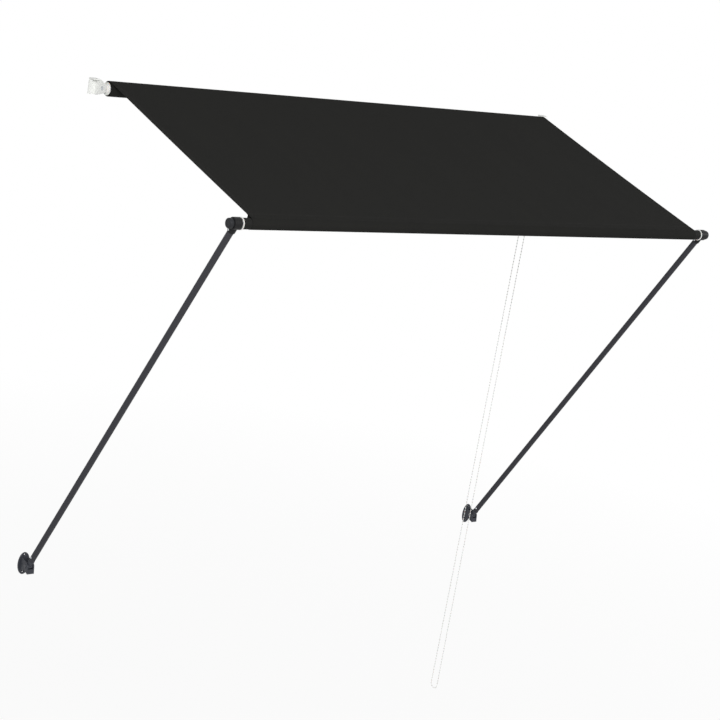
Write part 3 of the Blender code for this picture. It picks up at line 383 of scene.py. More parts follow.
put_piece(make_mesh("chain_guard", *prism(
    guard_outline, wheel_inner, cheek_inner - play, 0.0005, roller_axis, (0, -1, 0), (0, 0, 1), (1, 0, 0),
)), white_nylon, "wall_fixings", "white_nylon", ["clutch_guard"])

# Roller's left end. A white nylon plug with a grooved face is pressed in the tube. It turns on a zinc plated
# steel pin, which is riveted in the left bracket.
put_piece(turned_mesh(
    "idler_plug",
    [(pin_hole, 0.981), (0.0125, 0.981), (0.0125, 0.977), (0.016, 0.977), (0.016, 0.9737), (0.0188, 0.9737),
     (0.0188, 0.975), (plug_flange, 0.975), (plug_flange, end_plane), (plug_body, end_plane),
     (plug_body, plug_end), (pin_hole, plug_end)],
    0.0003, roller_axis, (-1, 0, 0),
), white_nylon, "roller", "white_nylon", ["idle_plug"])

# Zinc plated steel: bright, a little blue, with soft cloudy patches and very fine scratches. The scratches
# are drawn 0.4 mm apart, because the real ones are too fine to show.
zinc, tree, shader = start_finish("zinc plated steel", {"Metallic": 1.0, "Roughness": 0.32})
place = add_node(tree, "ShaderNodeTexCoord", {}).outputs["Object"]
clouds = add_node(tree, "ShaderNodeTexNoise", {"Vector": place, "Scale": 1 / 0.006, "Detail": 4.0})
scratches = add_node(tree, "ShaderNodeTexNoise", {"Vector": place, "Scale": 1 / 0.0004, "Detail": 2.0})
tone = add_node(tree, "ShaderNodeMix", {0: clouds, 6: "#C9CBCD", 7: "#B3B7BD"}, data_type="RGBA")
gloss = add_node(tree, "ShaderNodeMapRange", {0: clouds, 3: 0.24, 4: 0.42})
relief = add_node(tree, "ShaderNodeBump", {"Strength": 0.2, "Distance": 0.00002, "Height": scratches})
set_inputs(shader, {"Base Color": tone.outputs[2], "Roughness": gloss, "Normal": relief})

put_piece(turned_mesh(
    "idler_pin",
    [*rivet_head(cheek_outer + play), (pin_radius, cheek_inner - play), (0.0065, cheek_inner - play),
     (0.0065, 0.982), (pin_radius, 0.982), (pin_radius, 0.941), (0.003, 0.940), (0, 0.940)],
    0.0005, roller_axis, (-1, 0, 0), hollow=False,
), zinc, "wall_fixings", "zinc_plated_steel", ["idle_pin"])

# Roller tube. Drawn aluminium with its mill finish: dull, with fine lines along the tube, drawn 0.6 mm apart.
# The end of the cloth is held on it by its own first turns.
aluminium, tree, shader = start_finish("mill finish aluminium", {"Metallic": 1.0, "Roughness": 0.4})
place = add_node(tree, "ShaderNodeTexCoord", {}).outputs["Object"]
drawn = add_node(tree, "ShaderNodeMapping", {"Vector": place, "Scale": (0.02, 1.0, 1.0)})
lines = add_node(tree, "ShaderNodeTexNoise", {"Vector": drawn, "Scale": 1 / 0.0006, "Detail": 3.0})
tone = add_node(tree, "ShaderNodeMix", {0: lines, 6: "#C6C8C9", 7: "#AEB1B3"}, data_type="RGBA")
gloss = add_node(tree, "ShaderNodeMapRange", {0: lines, 3: 0.32, 4: 0.5})
relief = add_node(tree, "ShaderNodeBump", {"Strength": 0.3, "Distance": 0.00003, "Height": lines})
set_inputs(shader, {"Base Color": tone.outputs[2], "Roughness": gloss, "Normal": relief})

roller_half = 0.972
put_piece(turned_mesh(
    "winding_tube",
    [(0.019, roller_half), (0.0178, roller_half), (0.0178, -roller_half), (0.019, -roller_half)],
    0.0002, roller_axis, (1, 0, 0),
), aluminium, "roller", "aluminium", ["roller_tube"])

# Cloth. Woven polyester, coated and near black, 0.6 mm thick and 1.94 m wide. It is wound on the roller for
# about seven turns, leaves it at the top and is stretched down to the front bar.
bar_axis = Vector((0, *joints["bar_pivot"]["pos_m"][1:]))
outward = (bar_axis - roller_axis).normalized()
upward = Vector((0, outward.z, -outward.y))
span = (bar_axis - roller_axis).length
roll_lift, hem_lift = 0.0248, 0.0182
slope = asin((roll_lift - hem_lift) / span)
cloth_up = cos(slope) * upward + sin(slope) * outward
cloth_start = np.array(roller_axis + roll_lift * cloth_up)
cloth_up = np.array(cloth_up)
cloth_ahead = np.array(cos(slope) * outward - sin(slope) * upward)
x_axis = np.array((1.0, 0.0, 0.0))
cloth_length = sqrt(span ** 2 - (roll_lift - hem_lift) ** 2)
cloth_half, cloth_thick, side_hem = 0.970, 0.0006, 0.018


def cloth_shell(name, middle, lift, x, low, high, distance):
    """A closed thin shell of cloth. Its top is middle[i] + x[i, j] along X + high[i, j]·lift[i], and its
    underside runs back the same way at the height low. UVs are x and the distance along it, in metres."""
    rows, count = x.shape
    lift = np.broadcast_to(lift, (rows, 3))[:, None]
    top = middle[:, None] + x[..., None] * x_axis + high[..., None] * lift
    under = middle[:, None] + x[..., None] * x_axis + low[..., None] * lift
    points = np.concatenate([top, under[:, ::-1]], axis=1)
    flat = np.stack([x, np.broadcast_to(distance[:, None], x.shape)], axis=-1)
    j = np.arange(count - 1)
    end = np.stack([j, j + 1, 2 * count - 2 - j, 2 * count - 1 - j], axis=1)
    faces = np.concatenate([
        grid_faces(rows, 2 * count, close_columns=True), end, end[:, ::-1] + (rows - 1) * 2 * count,
    ])
    return make_mesh(name, points, faces, np.concatenate([flat, flat[:, ::-1]], axis=1))


def smooth(share):
    """A soft step from 0 to 1: s²·(3 - 2s), with s held between 0 and 1."""
    share = np.clip(share, 0, 1)
    return share * share * (3 - 2 * share)


# The finish of the cloth. Dull yarn with a soft sheen: a plain weave whose threads are 0.5 mm apart, drawn
# 1.6 mm apart so that it shows, over faint uneven bands of dye. The weave is sin(pi·u/p)·sin(pi·v/p), which
# changes sign at every crossing.
weave_pitch = 0.0016
cloth_finish, tree, shader = start_finish("woven coated polyester", {
    "Roughness": 0.85, "Specular IOR Level": 0.025, "Sheen Weight": 0.005, "Sheen Roughness": 0.5,
})
flat_place = add_node(tree, "ShaderNodeUVMap", {}, uv_map="UVMap")
axes = add_node(tree, "ShaderNodeSeparateXYZ", {0: flat_place})
waves = [
    add_node(tree, "ShaderNodeMath", {
        0: add_node(tree, "ShaderNodeMath", {0: axes.outputs[i], 1: pi / weave_pitch}, operation="MULTIPLY"),
    }, operation="SINE")
    for i in (0, 1)
]
crossing = add_node(tree, "ShaderNodeMath", {0: waves[0], 1: waves[1]}, operation="MULTIPLY")
over_under = add_node(tree, "ShaderNodeMapRange", {0: crossing, 1: -1.0, 2: 1.0})
drawn = add_node(tree, "ShaderNodeMapping", {"Vector": flat_place, "Scale": (1.0, 0.15, 1.0)})
bands = add_node(tree, "ShaderNodeTexNoise", {"Vector": drawn, "Scale": 1 / 0.09, "Detail": 4.0})
yarn = add_node(tree, "ShaderNodeMix", {0: over_under, 6: "#1F1F1E", 7: "#282826"}, data_type="RGBA")
dye = add_node(tree, "ShaderNodeMix", {0: bands, 6: "#202020", 7: "#262624"}, data_type="RGBA")
tone = add_node(tree, "ShaderNodeMix", {0: 0.45, 6: yarn.outputs[2], 7: dye.outputs[2]}, data_type="RGBA")
gloss = add_node(tree, "ShaderNodeMapRange", {0: over_under, 3: 0.92, 4: 0.78})
relief = add_node(tree, "ShaderNodeBump", {"Strength": 0.35, "Distance": 0.0002, "Height": over_under})
set_inputs(shader, {"Base Color": tone.outputs[2], "Roughness": gloss, "Normal": relief})

# The wound part: a spiral round the tube from the top, whose radius drops by 0.62 mm at each turn. The last
# turn rises by 0.9 mm to the stretched part, over 40 degrees.
wind = np.linspace(0, 2 * pi * 7.55, 360)
leave_turn = radians(40)
outer_turn, turn_drop, inner_turn = 0.0242, 0.00062, 0.0196
wind_radius = np.maximum(inner_turn, np.where(
    wind < leave_turn, 0.0251 - 0.0009 * smooth(wind / leave_turn),
    outer_turn - turn_drop * (wind - leave_turn) / (2 * pi),
))
wind_out = np.cos(wind)[:, None] * cloth_up - np.sin(wind)[:, None] * cloth_ahead
wander = 0.0006 * (0.5 + 0.5 * np.sin(2.6 * wind))
wound_x = np.linspace(-1, 1, 9)[None] * (cloth_half - wander)[:, None]
put_piece(cloth_shell(
    "wound_cloth", np.array(roller_axis) + wind_radius[:, None] * wind_out, wind_out, wound_x,
    np.full(wound_x.shape, -0.00028), np.full(wound_x.shape, 0.00028), -np.cumsum(wind_radius) * wind[1],
), cloth_finish, "roller", "cloth", ["cloth_roll"])

# The stretched part. It sags 3 mm between roller and bar, draws in by 1 mm at each side, ripples faintly, and
# has folded side hems.
sag, draw_in = 0.003, 0.001
edge_x = np.array([-cloth_half, -0.9697, -0.9650, -0.9560, -0.9526, -0.9515, -0.9500])
across_x = np.concatenate([edge_x, np.linspace(-0.94, 0.94, 95), -edge_x[::-1]])
share = np.linspace(0, 1, 61)
bow = 4 * share * (1 - share)
panel_x = across_x[None] * (1 - draw_in * bow[:, None])
ripple = 0.00035 * np.sin(2 * pi * across_x / 0.31 + 0.7) + 0.0002 * np.sin(2 * pi * across_x / 0.083)
panel_low = -sag * bow[:, None] * (1 - 0.25 * (across_x[None] / cloth_half) ** 2)
panel_low = panel_low + ripple[None] * bow[:, None]
fold_rise = smooth((np.abs(across_x) - (cloth_half - side_hem)) / 0.0009)
panel_high = panel_low + cloth_thick + 0.0005 * fold_rise[None]
panel_along = share * cloth_length
panel = put_piece(cloth_shell(
    "stretched_cloth", cloth_start + panel_along[:, None] * cloth_ahead, cloth_up,
    panel_x, panel_low, panel_high, panel_along,
), cloth_finish, "cloth", "cloth", ["cloth_panel"])

# The front hem: a sleeve sewn round the bar. It leaves the panel at the top, goes round the front and the
# underside, and comes back up to a flap that is sewn under the panel, 20 to 28 mm behind the bar.
sleeve_radius = 0.0171
flap_back, flap_lift = 0.020, 0.0176
flap_far = hypot(flap_back, flap_lift)
leave_angle = 2 * pi - atan2(flap_back, flap_lift) - acos(sleeve_radius / flap_far)
hem_turn = np.linspace(0, leave_angle, 64)
hem_radius = sleeve_radius + 0.0014 * (1 - smooth(hem_turn / leave_turn))
flap = np.array([(-flap_back + 0.0012, flap_lift - 0.0016), (-flap_back - 0.0006, flap_lift + 0.0001),
                 (-flap_back - 0.0030, flap_lift + 0.0004), (-flap_back - 0.0080, flap_lift + 0.0005)])
hem_route = np.concatenate([
    np.stack([hem_radius * np.sin(hem_turn), hem_radius * np.cos(hem_turn)], axis=1), flap,
])
hem_step = np.gradient(hem_route, axis=0)
hem_step /= np.linalg.norm(hem_step, axis=1)[:, None]
hem_normal = hem_step[:, :1] * cloth_up - hem_step[:, 1:] * cloth_ahead
hem_middle = np.array(bar_axis) + hem_route[:, :1] * cloth_ahead + hem_route[:, 1:] * cloth_up
hem_x = np.broadcast_to(np.linspace(-cloth_half, cloth_half, 33)[None], (len(hem_route), 33))
hem_run = np.cumsum(np.linalg.norm(np.diff(hem_route, axis=0), axis=1))
put_piece(cloth_shell(
    "front_hem_sleeve", hem_middle, hem_normal, hem_x,
    np.full(hem_x.shape, -cloth_thick / 2), np.full(hem_x.shape, cloth_thick / 2),
    cloth_length + np.concatenate([[0], hem_run]),
), cloth_finish, "front_bar", "cloth", ["cloth_hem"])

# Lockstitches of dark polyester thread hold the side hems and the front hem. They are 4 mm long in the real
# one and drawn 5 mm apart and 0.7 mm thick, so that they show.
thread, tree, shader = start_finish("spun polyester thread", {"Roughness": 0.8, "Specular IOR Level": 0.25})
place = add_node(tree, "ShaderNodeTexCoord", {}).outputs["Object"]
twist = add_node(tree, "ShaderNodeTexNoise", {"Vector": place, "Scale": 1 / 0.0007, "Detail": 2.0})
tone = add_node(tree, "ShaderNodeMix", {0: twist, 6: "#252524", 7: "#343432"}, data_type="RGBA")
relief = add_node(tree, "ShaderNodeBump", {"Strength": 0.4, "Distance": 0.0001, "Height": twist})
set_inputs(shader, {"Base Color": tone.outputs[2], "Normal": relief})
stitch_pitch = 0.005
stitch_sizes = (0.0020, 0.00035, 0.00025)


def panel_height(x, along):
    """The height of the panel's top over its straight underside, read off the panel's own grid."""
    j = np.interp(x, across_x, np.arange(len(across_x)))
    i = np.interp(along, panel_along, np.arange(len(panel_along)))
    return panel_high[np.rint(i).astype(int), np.rint(j).astype(int)]


def stitch_row(x, along, step):
    """Stitches as flat egg shapes on the panel's top, in a row in the direction of step."""
    base = cloth_start + x[:, None] * x_axis + along[:, None] * cloth_ahead
    base = base + panel_height(x, along)[:, None] * cloth_up
    return shells(base, step, np.cross(step, cloth_up), cloth_up, stitch_sizes, rings=4, around=6)


seam_along = np.arange(0.008, cloth_length - 0.030, stitch_pitch)
seam_x = np.arange(-0.966, 0.9661, stitch_pitch)
rows = [stitch_row(np.full(len(seam_along), side * 0.9553), seam_along, cloth_ahead) for side in (-1, 1)]
rows.append(stitch_row(seam_x, np.full(len(seam_x), cloth_length - 0.024), x_axis))
starts = np.cumsum([0] + [len(points) for points, faces in rows[:-1]])
stitches = put_piece(
    make_mesh("hem_stitches", np.concatenate([points for points, faces in rows]),
              np.concatenate([faces + start for (points, faces), start in zip(rows, starts)])),
    thread, "cloth", "cloth",
)
# The stretched part and its stitches get meshes of their own. Closing the awning would shorten the stretched
# part towards the roller to 5.9 % of its length; nothing here does that.
for soft_piece in (panel, stitches):
    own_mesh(soft_piece)

# Front bar. A powder coated steel tube in the cloth's front hem. Each end has a white nylon plug, a steel
# bolt and washer for the arm's head, and a dark moulded knob that locks it.
bar_coat, tree, shader = start_finish(
    "black powder coated steel", {"Roughness": 0.55, "Specular IOR Level": 0.04},
)
place = add_node(tree, "ShaderNodeTexCoord", {}).outputs["Object"]
peel = add_node(tree, "ShaderNodeTexNoise", {"Vector": place, "Scale": 1 / 0.0011, "Detail": 2.0})
tone = add_node(tree, "ShaderNodeMix", {0: peel, 6: "#1E1E1D", 7: "#262625"}, data_type="RGBA")
relief = add_node(tree, "ShaderNodeBump", {"Strength": 0.35, "Distance": 0.00006, "Height": peel})
set_inputs(shader, {"Base Color": tone.outputs[2], "Normal": relief})


def spark_nylon(name, plain, tones, mark_size, glosses, strength):
    """Moulded nylon with the spark texture of its mould, whose 0.3 mm grain is drawn at 0.8 mm. Its colour
    goes from one of the tones to the other with marks of mark_size."""
    nylon, tree, shader = start_finish(name, plain)
    place = add_node(tree, "ShaderNodeTexCoord", {}).outputs["Object"]
    spark = add_node(tree, "ShaderNodeTexNoise", {"Vector": place, "Scale": 1 / 0.0008, "Detail": 3.0})
    marks = add_node(tree, "ShaderNodeTexNoise", {"Vector": place, "Scale": 1 / mark_size, "Detail": 3.0})
    tone = add_node(tree, "ShaderNodeMix", {0: marks, 6: tones[0], 7: tones[1]}, data_type="RGBA")
    gloss = add_node(tree, "ShaderNodeMapRange", {0: spark, 3: glosses[0], 4: glosses[1]})
    relief = add_node(tree, "ShaderNodeBump", {"Strength": strength, "Distance": 0.00008, "Height": spark})
    set_inputs(shader, {"Base Color": tone.outputs[2], "Roughness": gloss, "Normal": relief})
    return nylon


# The knobs are of dark glass filled nylon, with faint flow marks.
knob_nylon = spark_nylon(
    "moulded dark nylon", {"Roughness": 0.45, "Specular IOR Level": 0.13}, ("#232426", "#2B2C2F"), 0.02,
    (0.36, 0.56), 0.3,
)

sides = {"left": -1, "right": 1}
put_piece(turned_mesh(
    "front_tube", [(0.0165, 1.0), (0.0153, 1.0), (0.0153, -1.0), (0.0165, -1.0)], 0.0003, bar_axis, (1, 0, 0),
), bar_coat, "front_bar", "black_powder_coat", ["bar_tube"])
knob_rim = circle_part((0.011, 1.0417), 0.0045, 90, 0, 8)
for name, side in sides.items():
    put_piece(turned_mesh(
        f"tube_plug_{name}",
        [(pin_hole, 1.0029), (0.019, 1.0029), (0.019, 1.0003), (0.015, 1.0003), (0.015, 0.972),
         (0.014, 0.970), (pin_hole, 0.970)],
        0.0007, bar_axis, (side, 0, 0),
    ), white_nylon, "front_bar", "white_nylon", [f"bar_plug_{name}"])
    put_piece(turned_mesh(
        f"steel_washer_{name}", [(0.010, 1.0044), (0.010, 1.0032), (pin_hole, 1.0032), (pin_hole, 1.0044)],
        0.0002, bar_axis, (side, 0, 0),
    ), zinc, "front_bar", "zinc_plated_steel", [f"pivot_washer_{name}"])
    put_piece(turned_mesh(
        f"shoulder_bolt_{name}",
        [(0, 1.0412), (0.003, 1.0412), (pin_radius, 1.0402), (pin_radius, 0.9697), (0.0075, 0.9697),
         (0.0075, 0.9647), (0, 0.9647)],
        0.0003, bar_axis, (side, 0, 0), hollow=False,
    ), zinc, "front_bar", "zinc_plated_steel", [f"pivot_bolt_{name}"])
    put_piece(turned_mesh(
        f"lock_knob_{name}",
        [(0, 1.0456), (0.0055, 1.0456), (0.0065, 1.0462), *knob_rim, (0.0155, 1.0352), (0.013, 1.0327),
         (0.013, 1.0312), (pin_hole, 1.0312), (pin_hole, 1.0422), (0, 1.0422)],
        0.0004, bar_axis, (side, 0, 0), hollow=False,
    ), knob_nylon, "front_bar", "dark_nylon", [f"knob_{name}"])

# Arms. Each is one straight powder coated steel tube, 1.6 m from hinge to hinge. A nylon head is riveted over
# its top end and turns on the bar's bolt, and a nylon foot is riveted in its lower end and turns on the wall
# pin.
arm_coat, tree, shader = start_finish(
    "anthracite powder coated steel", {"Roughness": 0.5, "Specular IOR Level": 0.12},
)
place = add_node(tree, "ShaderNodeTexCoord", {}).outputs["Object"]
peel = add_node(tree, "ShaderNodeTexNoise", {"Vector": place, "Scale": 1 / 0.0012, "Detail": 2.0})
cloud = add_node(tree, "ShaderNodeTexNoise", {"Vector": place, "Scale": 1 / 0.05, "Detail": 2.0})
coat = add_node(tree, "ShaderNodeMix", {0: peel, 6: "#323236", 7: "#3E3E43"}, data_type="RGBA")
drift = add_node(tree, "ShaderNodeMix", {0: cloud, 6: "#343438", 7: "#3C3C41"}, data_type="RGBA")
tone = add_node(tree, "ShaderNodeMix", {0: 0.3, 6: coat.outputs[2], 7: drift.outputs[2]}, data_type="RGBA")
gloss = add_node(tree, "ShaderNodeMapRange", {0: peel, 3: 0.42, 4: 0.6})
relief = add_node(tree, "ShaderNodeBump", {"Strength": 0.35, "Distance": 0.00006, "Height": peel})
set_inputs(shader, {"Base Color": tone.outputs[2], "Roughness": gloss, "Normal": relief})

# The heads are of black nylon, whose tone follows the grain. The feet are of the same grey nylon as the wall
# brackets that hold them, with broad, faint flow marks.
black_nylon = spark_nylon(
    "moulded black nylon", {"Roughness": 0.42, "Specular IOR Level": 0.1}, ("#1C1C1D", "#242425"), 0.0008,
    (0.34, 0.52), 0.3,
)
grey_nylon = spark_nylon(
    "moulded grey nylon", {"Roughness": 0.4, "Specular IOR Level": 0.22}, ("#34363B", "#3E4047"), 0.025,
    (0.32, 0.5), 0.25,
)


def shaped(name, first, others, edge=0.0):
    """One solid from closed shapes: the first, with each of the others joined to it or cut out of it exactly,
    and then its sharp edges rounded by edge."""
    made = []
    for points, faces in (first, *(shape for shape, operation in others)):
        made.append(bpy.data.objects.new("shape", make_mesh("shape", points, faces)))
        bpy.context.scene.collection.objects.link(made[-1])
    for other, (shape, operation) in zip(made[1:], others):
        step = made[0].modifiers.new(operation, "BOOLEAN")
        step.operation, step.object, step.solver = operation, other, "EXACT"
    if edge:
        step = made[0].modifiers.new("rounded edges", "BEVEL")
        step.width, step.segments, step.limit_method, step.angle_limit = edge, 2, "ANGLE", radians(50)
    bpy.context.view_layer.update()
    mesh = bpy.data.meshes.new_from_object(made[0].evaluated_get(bpy.context.evaluated_depsgraph_get()))
    mesh.name = name
    for old in made:
        bpy.data.objects.remove(old, do_unlink=True)
    return sealed(mesh)


def spun(corners, cut, axis_point, along, steps=48):
    """Points and faces of a solid turned shape, for joining or cutting."""
    profile = eased(corners, cut)
    return revolved(profile, axis_point, along, steps), grid_faces(len(profile), steps, close_columns=True)


def rod(radius, start, end, axis_point, along, steps=32, edge=0.0):
    """A plain round bar, for joining or cutting."""
    return spun([(0, start), (radius, start), (radius, end), (0, end)], edge, axis_point, along, steps)


arm_radius, arm_bore, rivet_hole = 0.010, 0.0088, 0.0023
rivet_up = {"head": 1.57525, "foot": 0.046}
through = 0.03
for name in sides:
    foot = Vector(joints[f"arm_{name}_swing"]["pos_m"])
    head = Vector((foot.x, bar_axis.y, bar_axis.z))
    arm_length = (head - foot).length
    arm_ahead = (head - foot).normalized()
    body = f"arm_{name}"
    hole = {
        end: rod(rivet_hole, -0.02, 0.02, foot + up * arm_ahead, x_axis, 20) for end, up in rivet_up.items()
    }
    tube = rod(arm_radius, 0.0303, arm_length - 0.0125, foot, arm_ahead, 56, 0.0003)
    bore = rod(arm_bore, 0.02, arm_length, foot, arm_ahead, 48)
    put_piece(shaped(f"arm_{name}_steel_tube", tube, [
        (bore, "DIFFERENCE"), (hole["head"], "DIFFERENCE"), (hole["foot"], "DIFFERENCE"),
    ]), arm_coat, body, "anthracite_powder_coat", [f"arm_tube_{name}"])

    disc = rod(0.0185, -0.0131, 0.0131, head, x_axis, 64, 0.0024)
    sleeve = rod(0.0126, 1.569, arm_length - 0.004, foot, arm_ahead, 56, 0.0006)
    socket = rod(arm_radius + play, 1.560, arm_length - 0.0122, foot, arm_ahead, 48)
    put_piece(shaped(f"arm_{name}_pivot_head", disc, [
        (sleeve, "UNION"), (socket, "DIFFERENCE"),
        (rod(pin_hole, -through, through, head, x_axis), "DIFFERENCE"), (hole["head"], "DIFFERENCE"),
    ]), black_nylon, body, "dark_nylon", [f"arm_head_{name}"])

    eye_disc = rod(0.012, -0.009, 0.009, foot, x_axis, 56, 0.0014)
    stem = spun([(0, 0.002), (0.009, 0.002), (0.009, 0.024), (0.0108, 0.026), (0.0108, 0.030),
                 (0.0085, 0.030), (0.0085, 0.060), (0.0075, 0.062), (0, 0.062)], 0.0005, foot, arm_ahead, 56)
    put_piece(shaped(f"arm_{name}_hinge_foot", eye_disc, [
        (stem, "UNION"), (rod(pin_hole, -through, through, foot, x_axis), "DIFFERENCE"),
        (hole["foot"], "DIFFERENCE"),
    ]), grey_nylon, body, "dark_nylon", [f"arm_foot_{name}"])

    for end, seat in (("head", 0.0129), ("foot", 0.0103)):
        dome, rim = seat + 0.0014, seat + 0.0004
        half = [(0, dome), (0.0022, dome), (0.0036, rim), (0.0036, seat), (0.002, seat)]
        put_piece(turned_mesh(
            f"arm_{name}_{end}_rivet", half + [(radius, -along) for radius, along in half[::-1]],
            0.0004, foot + rivet_up[end] * arm_ahead, x_axis, 32, hollow=False,
        ), zinc, body, "zinc_plated_steel", [f"{end}_rivet_{name}"])

# Arm brackets. Moulded glass filled nylon: an oval base with two countersunk holes, and two ears joined by a
# web, with a beaked lower corner. A steel pin with a spring clip holds the arm's foot between the ears. The
# clips and the clutch spring are of spring steel, hardened, oiled and dark with cloudy temper colours.
spring_steel, tree, shader = start_finish("oiled spring steel", {"Metallic": 1.0, "Roughness": 0.3})
place = add_node(tree, "ShaderNodeTexCoord", {}).outputs["Object"]
temper = add_node(tree, "ShaderNodeTexNoise", {"Vector": place, "Scale": 1 / 0.003, "Detail": 3.0})
tone = add_node(tree, "ShaderNodeMix", {0: temper, 6: "#9A9A9C", 7: "#858386"}, data_type="RGBA")
gloss = add_node(tree, "ShaderNodeMapRange", {0: temper, 3: 0.22, 4: 0.38})
set_inputs(shader, {"Base Color": tone.outputs[2], "Roughness": gloss})
spring_node = frame["nodes"]["clutch_spring"]
spring_node.data.materials.clear()
spring_node.data.materials.append(spring_steel)

# The hinge pins are zinc plated and black passivated, so that they are as dark as the brackets.
black_zinc, tree, shader = start_finish(
    "black passivated zinc plated steel", {"Metallic": 1.0, "Roughness": 0.45},
)
place = add_node(tree, "ShaderNodeTexCoord", {}).outputs["Object"]
clouds = add_node(tree, "ShaderNodeTexNoise", {"Vector": place, "Scale": 1 / 0.004, "Detail": 4.0})
tone = add_node(tree, "ShaderNodeMix", {0: clouds, 6: "#4A4B50", 7: "#5C5D61"}, data_type="RGBA")
gloss = add_node(tree, "ShaderNodeMapRange", {0: clouds, 3: 0.36, 4: 0.55})
set_inputs(shader, {"Base Color": tone.outputs[2], "Roughness": gloss})

out_axis = np.array((0.0, -1.0, 0.0))
up_axis = np.array((0.0, 0.0, 1.0))
hinge_out, ear_outer, slot_half = 0.036, 0.0138, 0.0098
oval_turn = np.linspace(0, 2 * pi, 72, endpoint=False)
oval = np.stack([0.022 * np.cos(oval_turn), -0.003 + 0.039 * np.sin(oval_turn)], axis=1)
t = np.linspace(0, 1, 17)[:, None]
underside = (1 - t) ** 2 * (0.0535, -0.0225) + 2 * t * (1 - t) * (0.026, -0.0095) + t ** 2 * (0.005, -0.029)
ear_outline = np.concatenate([
    [(0.005, 0.021)], circle_part((hinge_out, 0), 0.0145, 96, 4, 18), underside,
])
slot_outline = np.concatenate([
    [(0.011, 0.06), (0.011, -0.002)], circle_part((hinge_out, 0), 0.0136, 205, 330, 18),
    [(0.1, -0.002), (0.1, 0.06)],
])
clip = np.concatenate([
    circle_part((0, 0), 0.0068, -50, 230, 36), circle_part((0, 0), 0.0033, 230, -50, 30),
])
for name, side in sides.items():
    hinge = Vector(joints[f"arm_{name}_swing"]["pos_m"])
    wall = np.array((hinge.x, 0.0, hinge.z))
    base = prism(oval, 0, 0.006, 0.0024, wall, x_axis, up_axis, out_axis, 7)
    ears = prism(ear_outline, -ear_outer, ear_outer, 0.0008, wall, out_axis, up_axis, x_axis)
    slot = prism(slot_outline, -slot_half, slot_half, 0, wall, out_axis, up_axis, x_axis, 2)
    sinks = [
        spun([(0, -0.002), (0.0026, -0.002), (0.0026, 0.0035), (0.005, 0.006), (0.005, 0.011), (0, 0.011)],
             0, wall + z * up_axis, out_axis, 40)
        for z in (0.028, -0.034)
    ]
    put_piece(shaped(f"arm_bracket_{name}_moulding", base, [
        (ears, "UNION"), (slot, "DIFFERENCE"),
        (rod(pin_hole, -through, through, hinge, x_axis, 46), "DIFFERENCE"),
        *((sink, "DIFFERENCE") for sink in sinks),
    ]), grey_nylon, "wall_fixings", "dark_nylon", [f"arm_bracket_{name}"])
    put_piece(turned_mesh(
        f"hinge_pin_{name}",
        [(0, 0.0161), (0.006, 0.0161), (0.007, 0.0151), (0.007, 0.0141), (pin_radius, 0.0141),
         (pin_radius, -0.0141), (0.003, -0.0141), (0.003, -0.0157), (pin_radius, -0.0157),
         (pin_radius, -0.0179), (0, -0.0179)],
        0.0003, hinge, (side, 0, 0), 40, hollow=False,
    ), black_zinc, "wall_fixings", "zinc_plated_steel", [f"arm_pin_{name}"])
    inboard = hinge - side * 0.0149 * Vector(x_axis)
    put_piece(make_mesh(f"spring_clip_{name}", *prism(
        clip, -0.0005, 0.0005, 0.00015, inboard, out_axis, up_axis, x_axis, 3,
    )), spring_steel, "wall_fixings", "spring_steel", [f"arm_pin_clip_{name}"])

# Roller brackets. Each is folded from 3 mm steel sheet and powder coated white: a cheek that carries the
# roller's end, a flange on the wall with two screw holes, and a short flange on top. Pin and core are riveted
# in them.
white_coat, tree, shader = start_finish("white powder coated steel", {"Roughness": 0.45})
place = add_node(tree, "ShaderNodeTexCoord", {}).outputs["Object"]
peel = add_node(tree, "ShaderNodeTexNoise", {"Vector": place, "Scale": 1 / 0.0012, "Detail": 2.0})
cloud = add_node(tree, "ShaderNodeTexNoise", {"Vector": place, "Scale": 1 / 0.03, "Detail": 2.0})
tone = add_node(tree, "ShaderNodeMix", {0: cloud, 6: "#E7E8E5", 7: "#DDDEDB"}, data_type="RGBA")
gloss = add_node(tree, "ShaderNodeMapRange", {0: peel, 3: 0.4, 4: 0.54})
relief = add_node(tree, "ShaderNodeBump", {"Strength": 0.3, "Distance": 0.00007, "Height": peel})
set_inputs(shader, {"Base Color": tone.outputs[2], "Roughness": gloss, "Normal": relief})

